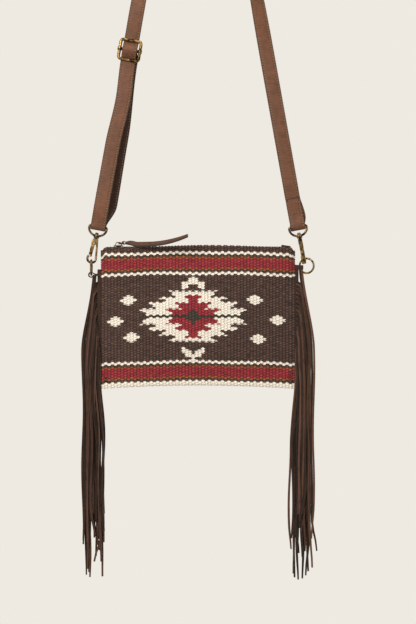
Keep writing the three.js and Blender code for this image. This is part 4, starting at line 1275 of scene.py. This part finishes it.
class BAG_OT_zip(bpy.types.Operator):
    """Make the zip's tapes, teeth and leather pull"""
    bl_idname = "fringed_bag.zip"
    bl_label = "Zip"

    def execute(self, context):
        tape = plain_weave("cotton_tape", TAPE_COLOUR, TAPE_THREAD)
        brass = bpy.data.materials["antiqued_cast_brass"]
        for name in ("front_zip_half", "back_zip_half"):
            self.make_half(name, tape, brass)
        self.make_pull(context.scene.bag_strap)
        self.make_end_fold()
        return {"FINISHED"}

    def make_half(self, node, tape, brass):
        """One tape along the mouth, with its row of teeth."""
        low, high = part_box(node)
        facing = -1 if high.y < 0 else 1
        inner, outer = sorted((abs(low.y), abs(high.y)))
        middle = (low.z + high.z) / 2
        points = []
        for x in np.linspace(low.x, high.x, TAPE_COLUMNS):
            sag = TAPE_SAG * math.sin(x / TAPE_WAVE)
            points += [
                (x, facing * (inner + share * (outer - inner)), middle + up + sag * share)
                for share, up in TAPE_PROFILE
            ]
        faces = tube_faces(TAPE_COLUMNS, len(TAPE_PROFILE))
        if facing > 0:
            faces = flipped(faces)
        strip = make_piece(f"{node}_tape", points, faces, tape, smooth_angle=TAPE_EDGE)
        set_in_place(strip, "pouch", "zip_tape", node)
        teeth = self.make_teeth(f"{node}_teeth", low, high, facing, inner, middle, brass)
        set_in_place(teeth, "pouch", "zip_metal")

    def make_teeth(self, name, low, high, facing, inner, middle, brass):
        """A row of teeth, half a pitch off the row that it faces."""
        start = low.x + TEETH_MARGIN + (TOOTH_PITCH / 2 if facing > 0 else 0)
        points, faces = [], []
        for x in np.arange(start, high.x - TEETH_MARGIN, TOOTH_PITCH):
            faces += tube_faces(2, len(TOOTH_PROFILE), len(points))
            for end, narrow in ((TEETH_GAP, 1), (TOOTH_WIDE, TOOTH_TAPER)):
                y = facing * (inner + end)
                points += [
                    (x + narrow * beside * TOOTH_LONG / 2, y, middle + up * TOOTH_TALL / 2)
                    for beside, up in TOOTH_PROFILE
                ]
        if facing < 0:
            faces = flipped(faces)
        return make_piece(name, points, faces, brass, smooth_angle=TOOTH_EDGE)

    def make_pull(self, settings):
        """A leather thong looped on the pull ring: it turns its face to the front and curls up at its end."""
        joint = JOINTS["pull_tab_lift"]
        pivot, axis = Vector(joint["pos_m"]), Vector(joint["axis"])
        out = Vector((-axis.y, axis.x, 0))
        up = Vector((0, 0, 1))
        shares = np.linspace(0, 1, PULL_STATIONS)
        points, across = [], []
        for share in shares:
            curl = PULL_CURL * max(share - PULL_CURL_START, 0) ** 2 / PULL_CURL_SPAN
            sag = PULL_SAG * float(ease((share - PULL_SAG_START) / PULL_SAG_SPAN))
            roll = PULL_LIE + PULL_ROLL * float(ease(share / PULL_ROLL_END))
            turn = math.radians(roll - PULL_UNROLL * float(past(share, PULL_UNROLL_START)))
            points.append(pivot + out * (PULL_LOOP + PULL_START + PULL_LENGTH * share) + up * (curl - sag))
            across.append(-axis * math.cos(turn) + up * math.sin(turn))
        section = rounded_section(PULL_WIDTH, PULL_THICK, PULL_CORNER)
        taper = np.interp(shares, *PULL_TAPER)
        tongue, tongue_faces = sweep(Strip(points, across), section, taper)
        loop, loop_faces = self.pull_loop(pivot, axis, out, up, len(tongue))
        grain = np.array(settings.grain_colour) * PULL_GRAIN_TONE
        edge_and_shade = np.array(settings.edge_colour) * PULL_EDGE_AND_SHADE_TONE
        dyes_and_shade = []
        for i in range(len(tongue_faces)):
            here, after = section[i % len(section)], section[(i + 1) % len(section)]
            height = (here[0] + after[0]) / (2 * PULL_WIDTH)
            # The rims take the burnished edge colour; the lower band of the face takes it too, as painted
            # shade on the pull's underside
            dyes_and_shade.append(edge_and_shade if abs(height) > PULL_RIM or height < PULL_SHADED_LOWER_BAND else grain)
        dyes_and_shade += [grain] * len(loop_faces)
        hide = bpy.data.materials["oiled_cowhide"]
        points = np.concatenate([tongue, loop])
        pull = make_piece("pull_leather", points, tongue_faces + loop_faces, hide, dyes_and_shade, SOFT_EDGE)
        set_in_place(pull, "pull_tab", "strap_leather", "pull_tab")

    def pull_loop(self, pivot, axis, out, up, start):
        """The thong's narrow end, bent round the pull ring's wire."""
        turns = np.radians(np.linspace(PULL_LOOP_OPENING, 360 - PULL_LOOP_OPENING, 20))
        bend = [pivot + PULL_LOOP * (out * math.cos(turn) + up * math.sin(turn)) for turn in turns]
        tail = pivot + out * (PULL_LOOP + PULL_TAIL)
        leaf = up * PULL_LOOP_THICK / 2
        path = [tail + leaf] + bend + [tail - leaf]
        section = rounded_section(PULL_LOOP_WIDTH, PULL_LOOP_THICK, PULL_LOOP_CORNER)
        return sweep(Strip(path, [-axis] * len(path)), section, start=start)

    def make_end_fold(self):
        """A strip folded over the closed end of the zip and sewn down."""
        low, high = (corner - END_FOLD_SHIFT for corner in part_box("zip_end_tab"))
        bend = (high.z - low.z - END_FOLD_LEAF) / 2
        middle = (high.z + low.z) / 2
        line = [(x, middle - bend) for x in np.linspace(low.x, high.x - bend, 6)]
        line += [
            (high.x - bend + bend * math.cos(turn), middle + bend * math.sin(turn))
            for turn in np.radians(np.linspace(-END_FOLD_TURN, END_FOLD_TURN, 7))
        ]
        line += [(x, middle + bend) for x in np.linspace(high.x - bend, low.x, 6)]
        points = [(x, 0, z - END_FOLD_SINK * (x - low.x) / (high.x - low.x)) for x, z in line]
        fold = Strip(points, [(0, 1, 0)] * len(points))
        section = rounded_section(high.y - low.y, END_FOLD_LEAF, END_FOLD_CORNER)
        mesh_points, faces = sweep(fold, section)
        suede = bpy.data.materials["tab_suede"]
        tab = make_piece("zip_end_fold", mesh_points, faces, suede, smooth_angle=SOFT_EDGE)
        set_in_place(tab, "pouch", "fringe_suede", "zip_end_tab")
        places = np.linspace(low.y, high.y, END_SEAM_COUNT) * END_SEAM_SHARE
        centres = [(low.x + END_SEAM_INSET, y, high.z - STITCH_LIFT) for y in places]
        thread = bpy.data.materials["waxed_thread"]
        sewn = stitches("zip_end_stitching", centres, (0, 1, 0), (0, 0, 1), END_SEAM_STITCH, thread)
        set_in_place(sewn, "pouch", "fringe_suede")


# Fringe strands: where they leave the seam or a ring tab on each side, and how they fall

TAB_STRANDS = 2
TAB_STRAND_PITCH = 2.4 * MM
TAB_STRAND_OUT = {-1: 7.0 * MM, 1: 6.4 * MM}
TAB_STRAND_DEPTH = {-1: (-3.2 * MM, 0), 1: (-2.0 * MM, -1.4 * MM)}
TAB_STRAND_LOW = {-1: 0, 1: 0.4}
ROOT_OUT = 1.6 * MM
ROOT_DROP = 2 * MM
ROOT_SPAN = 84 * MM
REACH = 19 * MM
REACH_POWER = 0.8
REACH_SPREAD = 0.8 * MM
SEAM_TUCK = 0.3 * MM
HOP_SHARE, ARCH_DROP = 0.5, 15 * MM
DRIFT_LEAD, DRIFT_DROP = 10 * MM, 110 * MM
LAYERS = 5
LAYER_STRIDE = 7
LAYER_STEP = 2.0 * MM
LAYER_FORWARD = 1.5 * MM
LENGTH_POWER = 0.7
SWAY = (0.3 * MM, 1.3 * MM)
SWAY_SPAN = 150 * MM
SWAY_START = 90 * MM
GATHER = 8 * MM
GATHER_LEAST = 0.1
GATHER_LEAD = 10 * MM
GATHER_DROP = 90 * MM
CURL = 8 * MM
SLIGHT_CURL = 2 * MM
CURL_ODDS = 0.7
CURL_START = 0.86
CURL_POWER = 1.5
STRAND_LEAN = 0.7
STRAND_TWIST = 1.1
TWIST_TURNS = 1.3
SPREAD_DROP, FACE_DROP = 9 * MM, 13 * MM
SWAY_DEPTH, CURL_DEPTH = 0.6, 0.5
STATIONS, STATION_POWER = 48, 1.7
STRAND_CORNER = 0.35 * MM
STRAND_TAPER = ((0, 0.1, 0.94, 1), (0.9, 1, 0.95, 0.6))
UPRIGHT = 1.02

# What is drawn for each strand: every second one is painted dark and the next painted light, as painted shade
# and light between the strands

STRAND_LIGHT_AND_SHADE = (0.45, 1.55)
CUT_EDGE = 0.42
CUT_EDGE_TONE = 1.45
WIDTH_SPREAD = (0.8, 1.1)
TONE_SPREAD = (0.75, 1.25)
GREEN_SPREAD = (0.94, 1.02)
BLUE_SPREAD = (0.9, 1.04)
STRAND_SEED = 31

# Fringe header, sewn along the side seam

HEADER_WIDTH = 5.4 * MM
HEADER_THICK = 1.5 * MM
HEADER_CORNER = 0.4 * MM
HEADER_OUT = 2.0 * MM
HEADER_RISE = 14 * MM
HEADER_LIFT = 5 * MM
HEADER_ROWS = 24
HEADER_SHADE = 0.7


class BAG_OT_fringe(bpy.types.Operator):
    """Cut and hang the suede fringe on both sides"""
    bl_idname = "fringed_bag.fringe"
    bl_label = "Fringe"

    def execute(self, context):
        settings = context.scene.bag_fringe
        suede = napped_suede("fringe_suede", settings.suede, dyed_and_shaded=True)
        bottom = POUCH_LOW.z + context.scene.bag_cloth.bottom_droop
        for side, name in ((-1, "left"), (1, "right")):
            self.hang(settings, side, name, bottom, suede)
        return {"FINISHED"}

    def strand(self, settings, side, name, index, bottom, draw):
        """The middle line of a strand and the directions across it; the first ones hang from the ring tab."""
        from_tab = index < TAB_STRANDS
        share = max(index - TAB_STRANDS, 0) / (settings.strands - TAB_STRANDS - 1)
        if from_tab:
            root_x = HALF_WIDTH + TAB_STRAND_OUT[side] + TAB_STRAND_PITCH * index
            root_z = JOINTS[f"{name}_ring_turn"]["pos_m"][2] - TAB_STRAND_LOW[side] * settings.tab_width
            depth = TAB_STRAND_DEPTH[side][0] + TAB_STRAND_DEPTH[side][1] * index
        else:
            root_x = HALF_WIDTH + ROOT_OUT
            root_z = FRINGE_TOP - ROOT_DROP - ROOT_SPAN * share
            depth = ((LAYER_STRIDE * index) % LAYERS - LAYERS // 2) * LAYER_STEP - LAYER_FORWARD * share
        reach = REACH * (1 - share) ** REACH_POWER + draw.uniform(-REACH_SPREAD, REACH_SPREAD) - SEAM_TUCK
        reach -= (root_x - HALF_WIDTH) / 2
        hop = 0 if from_tab else HOP_SHARE * reach
        short, long = settings.shortest_drop, settings.longest_drop
        total = root_z - bottom + short + (long - short) * draw.uniform(0, 1) ** LENGTH_POWER
        sway, phase = draw.uniform(*SWAY), draw.uniform(0, 2 * math.pi)
        inward = draw.uniform(GATHER_LEAST, 1) * GATHER * share
        curl = draw.uniform(-1, 1) * (CURL if draw.uniform() > CURL_ODDS else SLIGHT_CURL)
        lean, twist = draw.uniform(-STRAND_LEAN, STRAND_LEAN), draw.uniform(-STRAND_TWIST, STRAND_TWIST)
        points, across = [], []
        for down_share in np.linspace(0, 1, STATIONS) ** STATION_POWER:
            fall = total * down_share
            arch = hop * math.sqrt(1 - (1 - min(fall / ARCH_DROP, 1)) ** 2)
            drifted = ease((fall + DRIFT_LEAD) / DRIFT_DROP) - ease(DRIFT_LEAD / DRIFT_DROP)
            gathered = ease((bottom + GATHER_LEAD - root_z + fall) / GATHER_DROP)
            wave = sway * math.sin(2 * math.pi * fall / SWAY_SPAN + phase) * ease(fall / SWAY_START)
            bent = curl * past(down_share, CURL_START) ** CURL_POWER
            spread = 1 if from_tab else ease(fall / SPREAD_DROP)
            x = root_x + arch + (reach - hop) * drifted + wave - inward * gathered + bent
            y = depth * spread + SWAY_DEPTH * wave + CURL_DEPTH * bent
            points.append((side * x, y, root_z - fall))
            turn = lean + twist * math.sin(TWIST_TURNS * down_share * math.pi)
            hung = 1 if from_tab else ease(fall / FACE_DROP)
            across.append((side * math.cos(turn) * hung, math.sin(turn) * hung, UPRIGHT - hung))
        return points, across

    def hang(self, settings, side, name, bottom, suede):
        """All strands of one side and the header they are cut from, as one piece."""
        draw = np.random.default_rng(STRAND_SEED + side)
        width = settings.strand_width
        section = rounded_section(width, settings.strand_thick, STRAND_CORNER, cup=settings.strand_cup)
        points, faces, dyes_and_shade = [], [], []
        count = 0
        for index in range(settings.strands):
            line, across = self.strand(settings, side, name, index, bottom, draw)
            taper = np.interp(np.linspace(0, 1, len(line)), *STRAND_TAPER)
            taper = taper * draw.uniform(*WIDTH_SPREAD)
            strand_points, strand_faces = sweep(Strip(line, across), section, taper, count)
            tint_and_shade = np.array((1, draw.uniform(*GREEN_SPREAD), draw.uniform(*BLUE_SPREAD)))
            # Alternate strands painted darker and lighter, as painted shade between them
            tint_and_shade = tint_and_shade * draw.uniform(*TONE_SPREAD) * STRAND_LIGHT_AND_SHADE[index % 2]
            for i in range(len(strand_faces)):
                cut_edge = abs(section[i % len(section)][0]) > CUT_EDGE * width
                dyes_and_shade.append(tint_and_shade * (CUT_EDGE_TONE if cut_edge else 1))
            points.append(strand_points)
            faces += strand_faces
            count += len(strand_points)
        rows = np.linspace(POUCH_LOW.z + HEADER_LIFT, FRINGE_TOP + HEADER_RISE, HEADER_ROWS)
        header = Strip([(side * (HALF_WIDTH + HEADER_OUT), 0, z) for z in rows], [(1, 0, 0)] * len(rows))
        head_section = rounded_section(HEADER_WIDTH, HEADER_THICK, HEADER_CORNER)
        head_points, head_faces = sweep(header, head_section, start=count)
        points.append(head_points)
        faces += head_faces
        # The header is painted darker, as painted shade behind the strands
        dyes_and_shade += [np.full(3, HEADER_SHADE)] * len(head_faces)
        fringe = make_piece(f"suede_fringe_{name}", np.concatenate(points), faces, suede, dyes_and_shade, SOFT_EDGE)
        set_in_place(fringe, "pouch", "fringe_suede", f"{name}_fringe")


# Stage: metres and watts, lamps placed from the picture's middle

LAMPS = (
    ("key", (-0.9, -1.6, 0.75), 0.7, 27),
    ("fill", (1.5, -1.6, -0.2), 1.6, 7),
    ("top", (0.1, -0.2, 1.1), 1.0, 5),
    ("back", (0.9, 1.4, 0.6), 1.2, 12),
)
FLOOR_RADIUS = 1.0
FLOOR_SIDES = 96
FLOOR_RINGS = (0.02, 0.35, 0.7, 1.0)
FLOOR_DROP = 0.25
SURROUND_LIGHT = 0.24
SENSOR_WIDTH = 36


class BAG_OT_stage(bpy.types.Operator):
    """Set the backdrop, lights and camera"""
    bl_idname = "fringed_bag.stage"
    bl_label = "Stage"

    def execute(self, context):
        settings = context.scene.bag_stage
        centre = Vector((
            (settings.photo_width / 2 - settings.middle_pixel_x) * settings.pixel, 0,
            POUCH_TOP - (settings.photo_height / 2 - settings.top_pixel_y) * settings.pixel,
        ))
        self.set_floor(settings, centre)
        self.set_world(context.scene, settings)
        self.set_camera(context.scene, settings, centre)
        for name, offset, size, power in LAMPS:
            self.add_light(name, Vector(offset), centre, size, power)
        context.scene.view_settings.view_transform = "Standard"
        return {"FINISHED"}

    def set_floor(self, settings, centre):
        turns = [2 * math.pi * k / FLOOR_SIDES for k in range(FLOOR_SIDES)]
        points = [
            (FLOOR_RADIUS * ring * math.cos(turn), FLOOR_RADIUS * ring * math.sin(turn), 0)
            for ring in FLOOR_RINGS for turn in turns
        ]
        faces = [tuple(range(FLOOR_SIDES))]
        for start in range(0, len(points) - FLOOR_SIDES, FLOOR_SIDES):
            for k in range(FLOOR_SIDES):
                low, after = start + k, start + (k + 1) % FLOOR_SIDES
                faces.append((low, low + FLOOR_SIDES, after + FLOOR_SIDES, after))
        floor = make_piece("studio_floor", points, faces, studio_paper(settings.paper, FLOOR_RADIUS))
        floor.location = (centre.x, 0, CAD_BOX[0].z - FLOOR_DROP)

    def set_world(self, scene, settings):
        """An even pale surround: full strength where it is looked at, dim where it lights the bag."""
        world = scene.world or bpy.data.worlds.new("studio")
        scene.world = world
        world.use_nodes = True
        sky = world.node_tree.nodes["Background"]
        sky.inputs["Color"].default_value = (*settings.paper, 1)
        strength = add_node(
            world, "ShaderNodeMapRange", [("Value", seen_rays(world))], To_Min=SURROUND_LIGHT, To_Max=1.0,
        )
        connect(world, strength.outputs["Result"], sky, "Strength")

    def set_camera(self, scene, settings, centre):
        camera = bpy.data.cameras.new("photo_camera")
        camera.sensor_width = SENSOR_WIDTH
        camera.lens = camera.sensor_width * settings.distance / (settings.photo_height * settings.pixel)
        holder = bpy.data.objects.new("photo_camera", camera)
        holder.location = centre + Vector((0, -settings.distance, 0))
        holder.rotation_euler = (math.radians(90), 0, 0)
        scene.collection.objects.link(holder)
        scene.camera = holder

    def add_light(self, name, offset, centre, size, power):
        lamp = bpy.data.lights.new(name, "AREA")
        lamp.shape = "DISK"
        lamp.size = size
        lamp.energy = power
        holder = bpy.data.objects.new(name, lamp)
        holder.location = centre + offset
        holder.rotation_euler = (-offset).to_track_quat("-Z", "Y").to_euler()
        bpy.context.scene.collection.objects.link(holder)


OPERATORS = (
    BAG_OT_weave_pouch, BAG_OT_lining, BAG_OT_brass, BAG_OT_strap, BAG_OT_ring_tabs, BAG_OT_zip,
    BAG_OT_fringe, BAG_OT_stage,
)


class BAG_PT_panel(bpy.types.Panel):
    """Steps and settings of the fringed bag"""
    bl_idname = "BAG_PT_panel"
    bl_label = "Fringed Bag"
    bl_space_type = "VIEW_3D"
    bl_region_type = "UI"
    bl_category = "Fringed Bag"

    def draw(self, context):
        for step in OPERATORS:
            self.layout.operator(step.bl_idname, text=step.bl_label)
        for holder in SETTINGS:
            box = self.layout.box()
            settings = getattr(context.scene, holder)
            for name in settings.bl_rna.properties.keys():
                if name not in ("rna_type", "name"):
                    box.prop(settings, name)


SETTINGS = {
    "bag_cloth": ClothSettings,
    "bag_strap": StrapSettings,
    "bag_fringe": FringeSettings,
    "bag_brass": BrassSettings,
    "bag_stage": StageSettings,
}


def register():
    for settings in SETTINGS.values():
        bpy.utils.register_class(settings)
    for name, settings in SETTINGS.items():
        setattr(bpy.types.Scene, name, PointerProperty(type=settings))
    for step in OPERATORS + (BAG_PT_panel,):
        bpy.utils.register_class(step)


def unregister():
    for step in reversed(OPERATORS + (BAG_PT_panel,)):
        bpy.utils.unregister_class(step)
    for name, settings in SETTINGS.items():
        delattr(bpy.types.Scene, name)
        bpy.utils.unregister_class(settings)


def main():
    register()
    bpy.ops.fringed_bag.weave_pouch()
    bpy.ops.fringed_bag.lining()
    bpy.ops.fringed_bag.brass()
    bpy.ops.fringed_bag.strap()
    bpy.ops.fringed_bag.ring_tabs()
    bpy.ops.fringed_bag.zip()
    bpy.ops.fringed_bag.fringe()
    bpy.ops.fringed_bag.stage()


if __name__ == "__main__":
    main()
